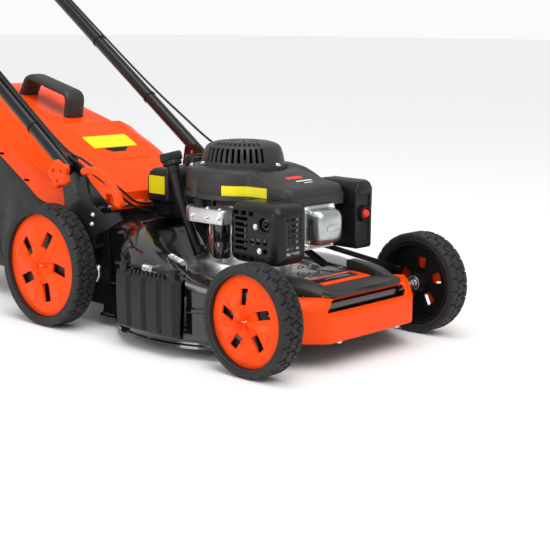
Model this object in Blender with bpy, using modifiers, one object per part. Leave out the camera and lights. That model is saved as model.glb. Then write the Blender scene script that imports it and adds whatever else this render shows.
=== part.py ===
"""A petrol lawn mower with a steel deck, an upright-shaft engine, a side chute, a rear grass
catcher and a folding handle. Metres, +Z up, -Y forward, and -X is the side of the side chute.
The origin is on the ground, under the middle of the machine's bounding box."""

import math

import bmesh
import bpy
from mathutils import Matrix, Vector

# Driving dimensions
WHEELBASE = 0.575
TRACK = 0.54  # over the tyres
NOSE = 0.0765  # bumper face ahead of the front axle
LENGTH = 1.66  # front tyres to the handle's cross bar
FRONT_RADIUS, FRONT_DISC, FRONT_TYRE_WIDTH = 0.1015, 0.0835, 0.0505
REAR_RADIUS, REAR_DISC, REAR_TYRE_WIDTH = 0.125, 0.105, 0.052
SPINDLE = 0.255  # crankshaft behind the front axle
DECK_TOP, DECK_RIM = 0.122, 0.020
CHAMBER_RADIUS = 0.250
GAP = 0.0004  # between pieces that touch
SHEET = 0.003
HOUSING_RADIUS = 0.117  # of the blower housing round the flywheel

FRONT_AXLE_Y = FRONT_RADIUS - LENGTH / 2
REAR_AXLE_Y = FRONT_AXLE_Y + WHEELBASE
SPINDLE_Y = FRONT_AXLE_Y + SPINDLE

# Height adjustment: both axles swing on pivots this far from the wheel centres
SWING_REACH, SWING_DROP = 0.040, 0.0205
FRONT_PIVOT = (FRONT_AXLE_Y + SWING_REACH, FRONT_RADIUS - SWING_DROP)
REAR_PIVOT = (REAR_AXLE_Y + SWING_REACH, REAR_RADIUS - SWING_DROP)
ROD_RADIUS = 0.006
LEVER_PIVOT = (FRONT_AXLE_Y + 0.482, 0.168)
LEVER_X = -0.2125

# Rear plates, flap and catcher
PLATE_X, PLATE_THICKNESS = 0.1735, 0.003
FLAP_PIVOT = (FRONT_AXLE_Y + 0.487, 0.243)
FLAP_SLOPE = 0.59
FLAP_LENGTH = 0.240  # in plan
HOOD_HALF, SHOULDER_HALF, PANEL_HALF, SHOULDER_DROP = 0.165, 0.115, 0.082, 0.066

# Handle
HANDLE_X, TUBE_RADIUS = 0.1905, 0.0140
HANDLE_PIVOT = (FRONT_AXLE_Y + 0.585, 0.3265)
HANDLE_TILT = math.radians(35)
BAIL_RADIUS = 0.0040
BAIL_PLAY = 0.0012  # between a bail's end and the hole it turns in


def back(distance):
    """The y of a point this far behind the front axle."""
    return FRONT_AXLE_Y + distance


# ---------------------------------------------------------------- scene and materials
for old in list(bpy.data.objects):
    bpy.data.objects.remove(old, do_unlink=True)
PARTS = bpy.data.collections.new("lawn_mower")
CUTTERS = bpy.data.collections.new("cutters")
bpy.context.scene.collection.children.link(PARTS)
bpy.context.scene.collection.children.link(CUTTERS)


def material(name, colour, roughness, metallic=0.0):
    made = bpy.data.materials.new(name)
    made.use_nodes = True
    shader = made.node_tree.nodes["Principled BSDF"]
    shader.inputs["Base Color"].default_value = (*colour, 1.0)
    shader.inputs["Roughness"].default_value = roughness
    shader.inputs["Metallic"].default_value = metallic
    return made


ORANGE = material("orange_plastic", (0.93, 0.13, 0.015), 0.35)
BLACK_STEEL = material("black_steel", (0.012, 0.012, 0.012), 0.15)
BLACK_PLASTIC = material("black_plastic", (0.025, 0.025, 0.026), 0.5)
GREY_PLASTIC = material("grey_plastic", (0.065, 0.065, 0.063), 0.45)
RUBBER = material("tyre_rubber", (0.045, 0.045, 0.044), 0.8)
STEEL = material("zinc_steel", (0.55, 0.55, 0.53), 0.3, 1.0)
ALUMINIUM = material("cast_aluminium", (0.60, 0.60, 0.60), 0.4, 1.0)
FABRIC = material("bag_fabric", (0.02, 0.02, 0.021), 0.9)
RED = material("red_rubber", (0.75, 0.03, 0.015), 0.35)


# ---------------------------------------------------------------- modelling helpers
def add(name, data, finish, collection=PARTS):
    obj = bpy.data.objects.new(name, data)
    collection.objects.link(obj)
    if finish is not None:
        data.materials.append(finish)
    return obj


def from_bmesh(name, bm, finish, collection=PARTS, sharp=math.radians(32)):
    bmesh.ops.recalc_face_normals(bm, faces=bm.faces)
    mesh = bpy.data.meshes.new(name)
    bm.to_mesh(mesh)
    bm.free()
    mesh.shade_smooth()
    mesh.set_sharp_from_angle(angle=sharp)
    return add(name, mesh, finish, collection)


def as_cutter(obj):
    PARTS.objects.unlink(obj)
    CUTTERS.objects.link(obj)
    obj.hide_render = True
    obj.display_type = "WIRE"
    return obj


def combine(obj, other, operation):
    """Joins or cuts obj with other, which then becomes a hidden helper."""
    step = obj.modifiers.new(other.name, "BOOLEAN")
    step.operation = operation
    step.object = other
    as_cutter(other)
    return obj


def block(name, low, high, finish, bevel=0.0, segments=1):
    """A box between two corners, with its edges bevelled."""
    bm = bmesh.new()
    bmesh.ops.create_cube(bm, size=1.0)
    size = [b - a for a, b in zip(low, high)]
    centre = [(a + b) / 2 for a, b in zip(low, high)]
    bmesh.ops.scale(bm, vec=size, verts=bm.verts)
    obj = from_bmesh(name, bm, finish)
    obj.location = centre
    if bevel:
        step = obj.modifiers.new("edges", "BEVEL")
        step.width = bevel
        step.segments = segments
    return obj


def cylinder(name, centre, radius, length, axis, finish, sides=16, top_radius=None, bevel=0.0):
    """A cylinder or cone about a world axis, centred on a point."""
    bm = bmesh.new()
    top = radius if top_radius is None else top_radius
    bmesh.ops.create_cone(
        bm, cap_ends=True, segments=sides, radius1=radius, radius2=top, depth=length
    )
    obj = from_bmesh(name, bm, finish)
    obj.matrix_world = Matrix.Translation(centre) @ turn_to(axis)
    if bevel:
        step = obj.modifiers.new("edges", "BEVEL")
        step.width = bevel
        step.limit_method = "ANGLE"
        step.angle_limit = math.radians(50)
    return obj


def turn_to(axis, phase=0.0):
    """A rotation that takes local Z to the axis."""
    turned_z = Vector(axis).normalized().to_track_quat("Z", "Y").to_matrix().to_4x4()
    return turned_z @ Matrix.Rotation(phase, 4, "Z")


def turned(name, profile, centre, axis, finish, steps=24, phase=0.0, ring=False):
    """A turned shape: (radius, height) points down its outer side, closed at the axis or as a ring."""
    mesh = bpy.data.meshes.new(name)
    edges = [(i, i + 1) for i in range(len(profile) - 1)]
    if ring:
        edges.append((len(profile) - 1, 0))
    mesh.from_pydata([(r, 0.0, h) for r, h in profile], edges, [])
    obj = add(name, mesh, finish)
    step = obj.modifiers.new("turn", "SCREW")
    step.steps = step.render_steps = steps
    step.use_merge_vertices = True
    step.merge_threshold = 0.0001
    step.use_smooth_shade = True
    obj.matrix_world = Matrix.Translation(centre) @ turn_to(axis, phase)
    return obj


def filleted(points, radius, steps=4):
    """The points of a path whose inner corners are rounded with arcs."""
    path = [Vector(points[0])]
    for before, corner, after in zip(points, points[1:], points[2:]):
        corner = Vector(corner)
        towards, away = Vector(before) - corner, Vector(after) - corner
        half = towards.angle(away) / 2
        cut = min(radius / math.tan(half), towards.length * 0.48, away.length * 0.48)
        start = corner + towards.normalized() * cut
        end = corner + away.normalized() * cut
        for i in range(steps + 1):
            t = i / steps
            path.append(start.lerp(corner, t).lerp(corner.lerp(end, t), t))
    path.append(Vector(points[-1]))
    return path


def curved(points, count):
    """Evenly many points on a smooth curve through the given ones."""
    given = [Vector(point) for point in points]
    ends = [given[0] * 2 - given[1], *given, given[-1] * 2 - given[-2]]
    path = []
    spans = len(points) - 1
    for i in range(count + 1):
        place = i / count * spans
        k = min(int(place), spans - 1)
        t = place - k
        a, b, c, d = ends[k : k + 4]
        square, cube = 2 * a - 5 * b + 4 * c - d, 3 * b - a - 3 * c + d
        path.append(0.5 * (2 * b + (c - a) * t + square * t * t + cube * t * t * t))
    return path


def rod(name, points, radius, finish, resolution=2, closed=False):
    """A round bar along a path."""
    curve = bpy.data.curves.new(name, "CURVE")
    curve.dimensions = "3D"
    curve.bevel_depth = radius
    curve.bevel_resolution = resolution
    curve.use_fill_caps = not closed
    spline = curve.splines.new("POLY")
    spline.use_cyclic_u = closed
    spline.points.add(len(points) - 1)
    for place, point in zip(spline.points, points):
        place.co = (*point, 1.0)
    return add(name, curve, finish)


def plate(name, outlines, thickness, x, finish):
    """A flat sheet in the YZ plane, centred on x; outlines after the first are holes."""
    curve = bpy.data.curves.new(name, "CURVE")
    curve.dimensions = "2D"
    curve.fill_mode = "BOTH"
    curve.extrude = thickness / 2
    for outline in outlines:
        spline = curve.splines.new("POLY")
        spline.use_cyclic_u = True
        spline.points.add(len(outline) - 1)
        for place, (y, z) in zip(spline.points, outline):
            place.co = (y, z, 0.0, 1.0)
    obj = add(name, curve, finish)
    obj.matrix_world = Matrix(((0, 0, 1, x), (1, 0, 0, 0), (0, 1, 0, 0), (0, 0, 0, 1)))
    return obj


def circle(centre, radius, sides=12):
    """The corners of a round hole or outline, in two dimensions."""
    turns = [2 * math.pi * i / sides for i in range(sides)]
    return [(centre[0] + radius * math.cos(a), centre[1] + radius * math.sin(a)) for a in turns]


def to_mesh(obj):
    """The same object as a mesh with its caps welded, so that it can be cut."""
    bpy.context.view_layer.update()
    graph = bpy.context.evaluated_depsgraph_get()
    mesh = bpy.data.meshes.new_from_object(obj.evaluated_get(graph))
    bm = bmesh.new()
    bm.from_mesh(mesh)
    bmesh.ops.remove_doubles(bm, verts=bm.verts, dist=1e-5)
    bm.to_mesh(mesh)
    bm.free()
    name, place = obj.name, obj.matrix_world.copy()
    bpy.data.objects.remove(obj)
    made = bpy.data.objects.new(name, mesh)
    PARTS.objects.link(made)
    made.matrix_world = place
    return made


def skin(name, rows, finish, thickness, around=True, caps=(), offset=-1.0):
    """A shell over rows of points: each row is a section, and rows follow each other."""
    bm = bmesh.new()
    grid = [[bm.verts.new(p) for p in row] for row in rows]
    count = len(grid[0])
    span = count if around else count - 1
    for first, second in zip(grid, grid[1:]):
        for i in range(span):
            j = (i + 1) % count
            bm.faces.new((first[i], first[j], second[j], second[i]))
    for index in caps:
        bm.faces.new(grid[index])
    bmesh.ops.remove_doubles(bm, verts=bm.verts, dist=1e-5)
    obj = from_bmesh(name, bm, finish)
    if thickness:
        step = obj.modifiers.new("wall", "SOLIDIFY")
        step.thickness = thickness
        step.offset = offset
    return obj


def smooth(t):
    t = min(1.0, max(0.0, t))
    return t * t * (3 - 2 * t)


# ---------------------------------------------------------------- deck
def deck_radius(dx, dy):
    """How far the deck's wall is from the spindle in a direction: a circle with a nose and a tail."""
    across = max(abs(dx), 1e-6)
    if dy < 0:
        return max(CHAMBER_RADIUS, min(0.200 / across, (SPINDLE + 0.052) / -dy, 0.415 / (abs(dx) - dy)))
    if dy > 0:
        return max(CHAMBER_RADIUS, min(0.1715 / across, 0.245 / dy))
    return CHAMBER_RADIUS


def tunnel_height(dx, dy):
    """How far the spiral tunnel stands over the deck: it climbs down the chute side to the rear."""
    turn = math.degrees(math.atan2(-dx, -dy))
    if turn >= 0:
        return 0.094 * smooth((turn - 35) / 110)
    far_side = 0.012 * smooth((-30 - turn) / 60) * smooth((turn + 180) / 40)
    return 0.094 * smooth((-150 - turn) / 30) + far_side


def make_deck():
    sides = 60
    rings = ((0.020, 0.0), (0.50, 0.0), (0.60, 0.35), (0.70, 0.90), (0.80, 1.0), (0.92, 0.92))
    rows = [[] for _ in range(len(rings) + 4)]
    for i in range(sides):
        angle = 2 * math.pi * (i + 0.5) / sides
        dx, dy = math.cos(angle), math.sin(angle)
        wall = deck_radius(dx, dy)
        rise = tunnel_height(dx, dy)
        points = [
            (0.024 if k == 0 else wall * share, DECK_TOP + rise * lift)
            for k, (share, lift) in enumerate(rings)
        ]
        edge = DECK_TOP - 0.006 + rise * 0.62
        rim = DECK_RIM + 0.035 * smooth((-dy * wall - 0.200) / 0.060)  # the nose clears kerbs
        points += [(wall, edge), (wall, 0.085), (wall, rim + 0.010), (wall + 0.010, rim)]
        for row, (reach, z) in zip(rows, points):
            row.append((dx * reach, SPINDLE_Y + dy * reach, z))
    deck = skin("deck_shell", rows, BLACK_STEEL, SHEET)
    outlet = block("outlet_cut", (-0.130, back(0.44), 0.062), (0.130, back(0.56), 0.186), None)
    combine(deck, outlet, "DIFFERENCE")
    side = block("side_cut", (-0.30, back(0.175), 0.052), (-0.19, back(0.330), 0.132), None)
    combine(deck, side, "DIFFERENCE")
    axle = cylinder("axle_cut", (0, *FRONT_PIVOT), 0.0078, 0.46, (1, 0, 0), None)
    combine(deck, axle, "DIFFERENCE")
    return deck


def make_ramp():
    """The sloping floor that carries clippings over the belt and the gearbox to the catcher."""
    top = [(0.450, 0.1500), (0.500, 0.1640), (0.530, 0.1850), (0.620, 0.1950)]
    upper = [(back(y), z) for y, z in top]
    lower = [(back(y), z - 0.0025) for y, z in reversed(top)]
    plate("rear_ramp", [upper + lower], 0.250, 0.0, BLACK_PLASTIC)


def make_side_plates():
    outline = [
        (0.470, 0.045), (0.560, 0.045), (0.632, 0.078), (0.638, 0.125), (0.606, 0.165),
        (0.600, 0.215), (0.618, 0.300), (0.610, 0.338), (0.575, 0.345), (0.520, 0.290),
        (0.490, 0.268), (0.470, 0.255),
    ]  # fmt: skip
    slot = [(0.561, 0.066), (0.591, 0.066), (0.591, 0.139), (0.561, 0.139)]
    for side, x in (("right", -PLATE_X), ("left", PLATE_X)):
        holes = [
            circle(REAR_PIVOT, ROD_RADIUS + 0.0022),
            circle(FLAP_PIVOT, 0.0048),
            circle(HANDLE_PIVOT, 0.0052),
            [(back(y), z) for y, z in slot],
        ]
        if side == "right":
            holes.append(circle(LEVER_PIVOT, 0.0052))
        edge = [(back(y), z) for y, z in outline]
        plate("side_plate_" + side, [edge, *holes], PLATE_THICKNESS, x, BLACK_STEEL)


def make_front():
    """Bumper with its grab opening, the dark cover over the nose and the orange inlay in it."""
    low, face = 0.048, 0.101  # the bumper's lower edge and the top of its upright face
    corner = [
        (0.176, -0.0200, 0.1230), (0.156, -0.0420, 0.1150), (0.122, -0.0750, face), (0.090, -NOSE, face),
    ]  # fmt: skip
    plan = [(-x, y, z) for x, y, z in corner] + [(x, y, z) for x, y, z in reversed(corner)]
    rows = []
    for x, y, lip in plan:
        shift = math.copysign(0.35, -x) if abs(x) > 0.1 else 0.0
        rows.append([
            (x + shift * 0.014, back(y + 0.014), low), (x, back(y), low + 0.008), (x, back(y), lip),
            (x + shift * 0.014, back(y + 0.014), 0.1270), (x + shift * 0.034, back(y + 0.034), 0.1285),
        ])  # fmt: skip
    bumper = skin("front_bumper", rows, ORANGE, 0.0035, around=False, offset=-1.0)
    slot = block("grab_cut", (-0.104, back(-0.090), face + 0.004), (0.104, back(-0.030), 0.1215), None)
    combine(bumper, slot, "DIFFERENCE")
    bottom, band, arm_top = 0.1290, 0.1380, 0.1530
    low_corner, high_corner = (-0.098, back(-0.0650), bottom), (0.098, back(-0.0090), band)
    cover = block("front_cover", low_corner, high_corner, GREY_PLASTIC, 0.003)
    for side in (-1, 1):
        wing_high = (0.019, 0.066, arm_top - 0.0005 - bottom)
        wing = block(f"cover_wing_{side}", (-0.019, -0.062, 0.0005), wing_high, None, 0.004)
        wing.location = (side * 0.1120, back(0.020), (bottom + arm_top) / 2)
        wing.rotation_euler = (0, 0, -side * math.radians(15))
        combine(cover, wing, "UNION")
    block("front_inlay", (-0.074, back(-0.0085), bottom), (0.074, back(0.048), 0.1400), ORANGE, 0.003)


def make_side_cover():
    """The ribbed cover over the side outlet, its hinge rod and torsion spring."""
    hinge_x, hinge_z = -0.2545, 0.1600
    low_y, high_y = back(0.166), back(0.345)
    middle = (low_y + high_y) / 2
    profile = [
        (-0.2535, 0.1520), (-0.2690, 0.1440), (-0.2695, 0.1000), (-0.2680, 0.0450), (-0.2600, 0.0400),
    ]  # fmt: skip
    rows = []
    for y in (low_y, low_y + 0.020, high_y - 0.020, high_y):
        tuck = 0.006 if y in (low_y, high_y) else 0.0
        rows.append([(x + tuck, y, z) for x, z in profile])
    cover = skin("side_cover", rows, BLACK_PLASTIC, 0.004, around=False, offset=-1.0)
    for k in range(5):
        y = low_y + 0.030 + 0.030 * k
        rib = block(f"rib_{k}", (-0.2699, y - 0.004, 0.048), (-0.2650, y + 0.004, 0.140), None)
        combine(cover, rib, "UNION")
    for k, y in enumerate((low_y + 0.022, high_y - 0.022)):
        ear_low, ear_high = (hinge_x - 0.008, y - 0.010, 0.1440), (hinge_x + 0.007, y + 0.010, 0.1680)
        ear = block(f"ear_{k}", ear_low, ear_high, None, 0.003)
        combine(cover, ear, "UNION")
    bore = cylinder("cover_bore", (hinge_x, middle, hinge_z), 0.0038, 0.30, (0, 1, 0), None, 12)
    combine(cover, bore, "DIFFERENCE")
    cylinder("side_hinge_rod", (hinge_x, middle, hinge_z), 0.0030, 0.190, (0, 1, 0), STEEL, 10)
    coil_radius, wire, turns, per_turn = 0.0062, 0.0011, 4, 8
    path = [(hinge_x + 0.016, middle - 0.012, hinge_z + 0.006)]
    for i in range(turns * per_turn + 1):
        angle = math.pi / 2 - 2 * math.pi * i / per_turn
        y = middle - 0.010 + 0.020 * i / (turns * per_turn)
        path.append((hinge_x + coil_radius * math.cos(angle), y, hinge_z + coil_radius * math.sin(angle)))
    path.append((hinge_x + 0.016, middle + 0.012, hinge_z + 0.006))
    rod("side_hinge_spring", path, wire, STEEL, 1)


# ---------------------------------------------------------------- wheels and axles
def make_wheel(place, side, axle_y, radius, disc, width):
    """A tyre on a five-spoke disc with a hub bored for its axle."""
    facets = 28
    centre = (side * (TRACK / 2 - width / 2), axle_y, radius)
    outer, half = radius / math.cos(math.pi / facets), width / 2
    tyre = [
        (outer, half - 0.006), (outer, 0.006 - half), (outer - 0.006, -half),
        (disc + 2 * GAP, -half), (disc + 2 * GAP, half), (outer - 0.006, half),
    ]  # fmt: skip
    axis = (side, 0, 0)
    turned("tyre_" + place, tyre, centre, axis, RUBBER, facets, math.pi / facets, ring=True)
    hub, bore = 0.019, 0.0068
    web = half - 0.012
    rim = [
        (hub, half - 0.001), (disc - 0.012, half - 0.004), (disc, half - 0.002), (disc, 0.002 - half),
        (disc - 0.005, 0.002 - half), (disc - 0.009, web - 0.004), (hub + 0.002, web - 0.004),
        (hub, 0.001 - half), (bore, 0.001 - half), (bore, half - 0.001),
    ]  # fmt: skip
    wheel = turned("rim_" + place, rim, centre, axis, ORANGE, 24, 0.0, ring=True)
    for k in range(5):
        angle = math.radians(18 + 72 * k)
        spot = Vector(centre) + Vector((0, math.cos(angle), math.sin(angle))) * disc * 0.52
        corner = Vector((0.06, disc * 0.15, disc * 0.09))
        window = block(f"window_{place}_{k}", -corner, corner, None)
        window.location = spot
        window.rotation_euler = (angle + 0.35, 0, 0)
        combine(wheel, window, "DIFFERENCE")


def make_axles():
    tip, arm_x = TRACK / 2 - 0.006, 0.2085
    right_end = [
        (-tip, FRONT_AXLE_Y, FRONT_RADIUS), (-arm_x, FRONT_AXLE_Y, FRONT_RADIUS), (-arm_x, *FRONT_PIVOT),
    ]  # fmt: skip
    left_end = [(-x, y, z) for x, y, z in reversed(right_end)]
    rod("front_axle", filleted(right_end + left_end, 0.006, 2), ROD_RADIUS, STEEL, 3)
    crank = cylinder("rear_crank", (0, *REAR_PIVOT), ROD_RADIUS + 0.0016, 0.392, (1, 0, 0), STEEL, 14)
    middle = ((REAR_PIVOT[0] + REAR_AXLE_Y) / 2, (REAR_PIVOT[1] + REAR_RADIUS) / 2)
    lean = math.atan2(SWING_DROP, -SWING_REACH)
    for side in (-1, 1):
        arm = block(f"crank_arm_{side}", (-0.004, -0.034, -0.012), (0.004, 0.034, 0.012), None, 0.003)
        arm.location = (side * 0.1900, *middle)
        arm.rotation_euler = (lean, 0, 0)
        combine(crank, arm, "UNION")
    eye = cylinder("crank_eye", (0, REAR_AXLE_Y, REAR_RADIUS), ROD_RADIUS + 0.0008, 0.5, (1, 0, 0), None, 14)
    combine(crank, eye, "DIFFERENCE")
    case_low, case_high = (-0.045, REAR_AXLE_Y - 0.052, 0.094), (0.045, REAR_AXLE_Y + 0.016, 0.149)
    gearbox = block("gearbox", case_low, case_high, ALUMINIUM, 0.010)
    shaft = cylinder("drive_shaft", (0, REAR_AXLE_Y, REAR_RADIUS), ROD_RADIUS, 2 * tip, (1, 0, 0), None, 14)
    combine(gearbox, shaft, "UNION")


def make_height_link():
    """The flat bar that ties the front and rear axle cranks together, beside the deck."""
    front, rear, deep = (0.020, 0.1310), (0.585, 0.1990), 0.0055
    run, rise = rear[0] - front[0], rear[1] - front[1]
    length = math.hypot(run, rise)
    across = (-rise / length * deep, run / length * deep)
    corners = [
        (front[0] + across[0], front[1] + across[1]), (front[0] - across[0], front[1] - across[1]),
        (rear[0] - across[0], rear[1] - across[1]), (rear[0] + across[0], rear[1] + across[1]),
    ]  # fmt: skip
    plate("height_link", [[(back(y), z) for y, z in corners]], 0.0030, 0.2030, BLACK_STEEL)


def make_height_lever():
    """A forked plate on its pin with a looped grip, and the bent spring wire under it."""
    hand = [
        (0.474, 0.156), (0.492, 0.156), (0.504, 0.180), (0.504, 0.240), (0.508, 0.284), (0.505, 0.308),
        (0.487, 0.309), (0.479, 0.278), (0.466, 0.253), (0.440, 0.240), (0.392, 0.248), (0.380, 0.233),
        (0.420, 0.213), (0.458, 0.196),
    ]  # fmt: skip
    blank = plate("height_lever", [[(back(y), z) for y, z in hand]], 0.0055, LEVER_X, BLACK_PLASTIC)
    lever = to_mesh(blank)
    pin = cylinder("lever_pin", (-0.1915, *LEVER_PIVOT), 0.0044, 0.040, (1, 0, 0), None, 12)
    combine(lever, pin, "UNION")
    sweep = [(0.494, 0.318), (0.470, 0.324), (0.438, 0.318), (0.408, 0.300), (0.388, 0.275), (0.383, 0.257)]
    rod("lever_grip", [(LEVER_X, back(y), z) for y, z in sweep], 0.0068, ORANGE, 2)
    wire = [(0.484, 0.1510), (0.486, 0.1360), (0.4550, 0.1280), (0.4530, 0.1160), (0.4620, 0.1030)]
    rod("lever_spring", filleted([(LEVER_X, back(y), z) for y, z in wire], 0.006, 2), 0.0032, STEEL, 2)


# ---------------------------------------------------------------- engine
def make_engine_block():
    base = DECK_TOP + GAP
    profile = [
        (0.050, 0.268), (0.058, 0.262), (0.062, 0.205), (0.074, 0.190), (0.082, 0.158),
        (0.094, 0.152), (0.096, base), (0.0125, base), (0.0125, 0.268),
    ]  # fmt: skip
    case = turned("engine_block", profile, (0, SPINDLE_Y, 0), (0, 0, 1), ALUMINIUM, 24, ring=True)
    barrel = block("barrel", (-0.044, back(0.125), 0.192), (0.044, back(0.215), 0.268), None, 0.006)
    combine(case, barrel, "UNION")
    bore = cylinder("crank_bore", (0, SPINDLE_Y, 0.2), 0.0125, 0.3, (0, 0, 1), None, 24)
    combine(case, bore, "DIFFERENCE")


def make_head():
    """The finned cylinder head, with the sheet cover over the valves."""
    head = block("cylinder_head", (-0.040, back(0.062), 0.200), (0.038, back(0.1245), 0.268), ALUMINIUM)
    for k in range(4):
        y = back(0.070 + 0.014 * k)
        fin = block(f"fin_{k}", (-0.056, y - 0.002, 0.190), (0.052, y + 0.002, 0.2745), None)
        combine(head, fin, "UNION")
    cover = block("valve_cover", (-0.040, back(0.022), 0.204), (0.032, back(0.0580), 0.268), STEEL, 0.010, 2)
    flange = block("cover_flange", (-0.046, back(0.0560), 0.196), (0.039, back(0.0616), 0.276), None, 0.002)
    combine(cover, flange, "UNION")
    cylinder("spark_plug", (0.020, back(0.086), 0.170), 0.007, 0.054, (0, 0.75, 0.35), BLACK_PLASTIC, 12)


def open_box(name, low, high, open_axis, finish, wall, bevel):
    """A box shell with one side open: open_axis is the outward direction of the missing side."""
    bm = bmesh.new()
    bmesh.ops.create_cube(bm, size=1.0)
    size = Vector(high) - Vector(low)
    bmesh.ops.scale(bm, vec=size, verts=bm.verts)
    bm.normal_update()
    gone = [f for f in bm.faces if f.normal.dot(Vector(open_axis)) > 0.9]
    rim = {e for f in gone for e in f.edges}
    kept = [e for e in bm.edges if e not in rim]
    bmesh.ops.bevel(bm, geom=kept, offset=bevel, segments=2, profile=0.5, affect="EDGES")
    bm.normal_update()
    reach = max(v.co.dot(Vector(open_axis)) for v in bm.verts)
    outward = Vector(open_axis)
    lids = [f for f in bm.faces if all(abs(v.co.dot(outward) - reach) < 1e-6 for v in f.verts)]
    bmesh.ops.delete(bm, geom=lids, context="FACES")
    obj = from_bmesh(name, bm, finish)
    obj.location = (Vector(low) + Vector(high)) / 2
    step = obj.modifiers.new("wall", "SOLIDIFY")
    step.thickness = wall
    step.offset = -1.0
    return obj


def make_muffler():
    block("muffler", (-0.150, back(0.048), 0.196), (-0.092, back(0.124), 0.262), BLACK_STEEL, 0.010)
    low, high = (-0.168, back(0.012), 0.180), (-0.082, back(0.138), 0.290)
    guard = open_box("muffler_guard", low, high, (1, 0, 0), BLACK_PLASTIC, 0.0025, 0.018)
    for k in range(5):
        z = 0.202 + 0.014 * k
        vent = block(f"vent_{k}", (-0.180, back(0.078), z), (-0.156, back(0.116), z + 0.006), None)
        combine(guard, vent, "DIFFERENCE")


def housing_radius(dx, dy):
    """The blower housing in plan: round about the flywheel with a snout over the cylinder."""
    if dy >= 0:
        return HOUSING_RADIUS
    left = 0.080 if dx < 0 else 0.086
    snout = min(left / max(abs(dx), 1e-6), 0.192 / -dy)
    return max(HOUSING_RADIUS, snout)


def make_housing():
    """Flat-sided housing round the flywheel, and the slotted cover of the pull starter on it."""
    sides = 44
    rows = [[] for _ in range(5)]
    for i in range(sides):
        angle = 2 * math.pi * (i + 0.5) / sides
        dx, dy = math.cos(angle), math.sin(angle)
        wall = housing_radius(dx, dy)
        drop = 0.026 * smooth((wall - HOUSING_RADIUS) / 0.07)
        points = [
            (0.070, 0.338 - drop * 0.1),
            (0.088 + (wall - HOUSING_RADIUS) * 0.3, 0.338 - drop * 0.25),
            (wall - 0.014, 0.333 - drop * 0.8), (wall - 0.001, 0.322 - drop), (wall, 0.2780),
        ]  # fmt: skip
        for row, (reach, z) in zip(rows, points):
            row.append((dx * reach, SPINDLE_Y + dy * reach, z))
    skin("blower_housing", rows, GREY_PLASTIC, SHEET)
    outer = [(0.0200, 0.3850), (0.055, 0.3830), (0.070, 0.3750), (0.0785, 0.3600), (0.0815, 0.3385)]
    inner = [(0.0787, 0.3385), (0.0757, 0.3572), (0.0672, 0.3722), (0.0522, 0.3802), (0.0200, 0.3822)]
    cover = turned("recoil_cover", outer + inner, (0, SPINDLE_Y, 0), (0, 0, 1), GREY_PLASTIC, 28, ring=True)
    spacing = math.radians(10)
    for k in range(8):
        slot = block(f"recoil_slot_{k}", (-0.100, -0.0024, 0.3460), (-0.066, 0.0024, 0.3680), None)
        around = Matrix.Rotation(spacing * (k - 0.5), 4, "Z")
        slot.matrix_world = Matrix.Translation((0, SPINDLE_Y, 0)) @ around @ slot.matrix_basis
        combine(cover, slot, "DIFFERENCE")


def make_intake():
    """Air filter box with its primer bulb, and the carburettor behind it."""
    low, high = (0.0895, back(0.040), 0.182), (0.150, back(0.150), 0.312)
    box = block("air_filter_box", low, high, BLACK_PLASTIC, 0.012)
    seat = cylinder("primer_seat", (0.1140, back(0.0380), 0.2490), 0.0140, 0.036, (0, 1, 0), None, 16)
    combine(box, seat, "DIFFERENCE")
    turned(
        "primer_bulb",
        [(0.0, 0.0150), (0.0070, 0.0130), (0.0105, 0.0060), (0.0110, 0.0), (0.0, 0.0)],
        (0.1140, back(0.0480), 0.2490), (0, -1, 0), RED, 14,
    )  # fmt: skip
    block("carburettor", (0.046, back(0.1300), 0.205), (0.0890, back(0.1900), 0.262), ALUMINIUM, 0.004)


def make_fuel_and_oil():
    tank = block("fuel_tank", (-0.082, back(0.392), 0.252), (0.070, back(0.458), 0.322), BLACK_PLASTIC, 0.012)
    sump = block("tank_sump", (-0.066, back(0.398), 0.217), (0.060, back(0.452), 0.262), None, 0.010)
    combine(tank, sump, "UNION")
    turned(
        "fuel_cap",
        [(0.0, 0.022), (0.020, 0.021), (0.024, 0.016), (0.0245, 0.0), (0.0, 0.0)],
        (0.030, back(0.425), 0.322 + GAP), (0, 0, 1), BLACK_PLASTIC, 18,
    )  # fmt: skip
    foot, knee = (-0.080, back(0.304), 0.1590), (-0.0890, back(0.348), 0.2700)
    top = (-0.0885, back(0.369), 0.3320)
    tube = to_mesh(rod("oil_tube", filleted([foot, knee, top], 0.05, 3), 0.0100, BLACK_PLASTIC, 3))
    lean = (Vector(top) - Vector(knee)).normalized()
    bore = cylinder("tube_bore", tuple(Vector(top) - lean * 0.010), 0.0068, 0.10, tuple(lean), None, 12)
    combine(tube, bore, "DIFFERENCE")
    cap = [
        (0.0, 0.0260), (0.0140, 0.0250), (0.0185, 0.0180), (0.0190, 0.0006), (0.0028, 0.0006),
        (0.0028, -0.0500), (0.0, -0.0500),
    ]  # fmt: skip
    turned("dipstick", cap, top, tuple(lean), BLACK_PLASTIC, 14)


def make_starter():
    """The electric starter beside the crankcase, and the pull starter's grip behind its cover."""
    centre = (-0.1060, back(0.2130), 0.2000)
    motor = cylinder("starter_motor", centre, 0.0170, 0.066, (0, 0, 1), BLACK_STEEL, 16, bevel=0.002)
    gears = block("gear_case", (-0.125, back(0.1950), 0.2320), (-0.080, back(0.3120), 0.2620), None, 0.006)
    combine(motor, gears, "UNION")
    block("starter_grip", (0.058, back(0.368), 0.3460), (0.088, back(0.386), 0.3600), BLACK_PLASTIC, 0.004)


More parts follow.
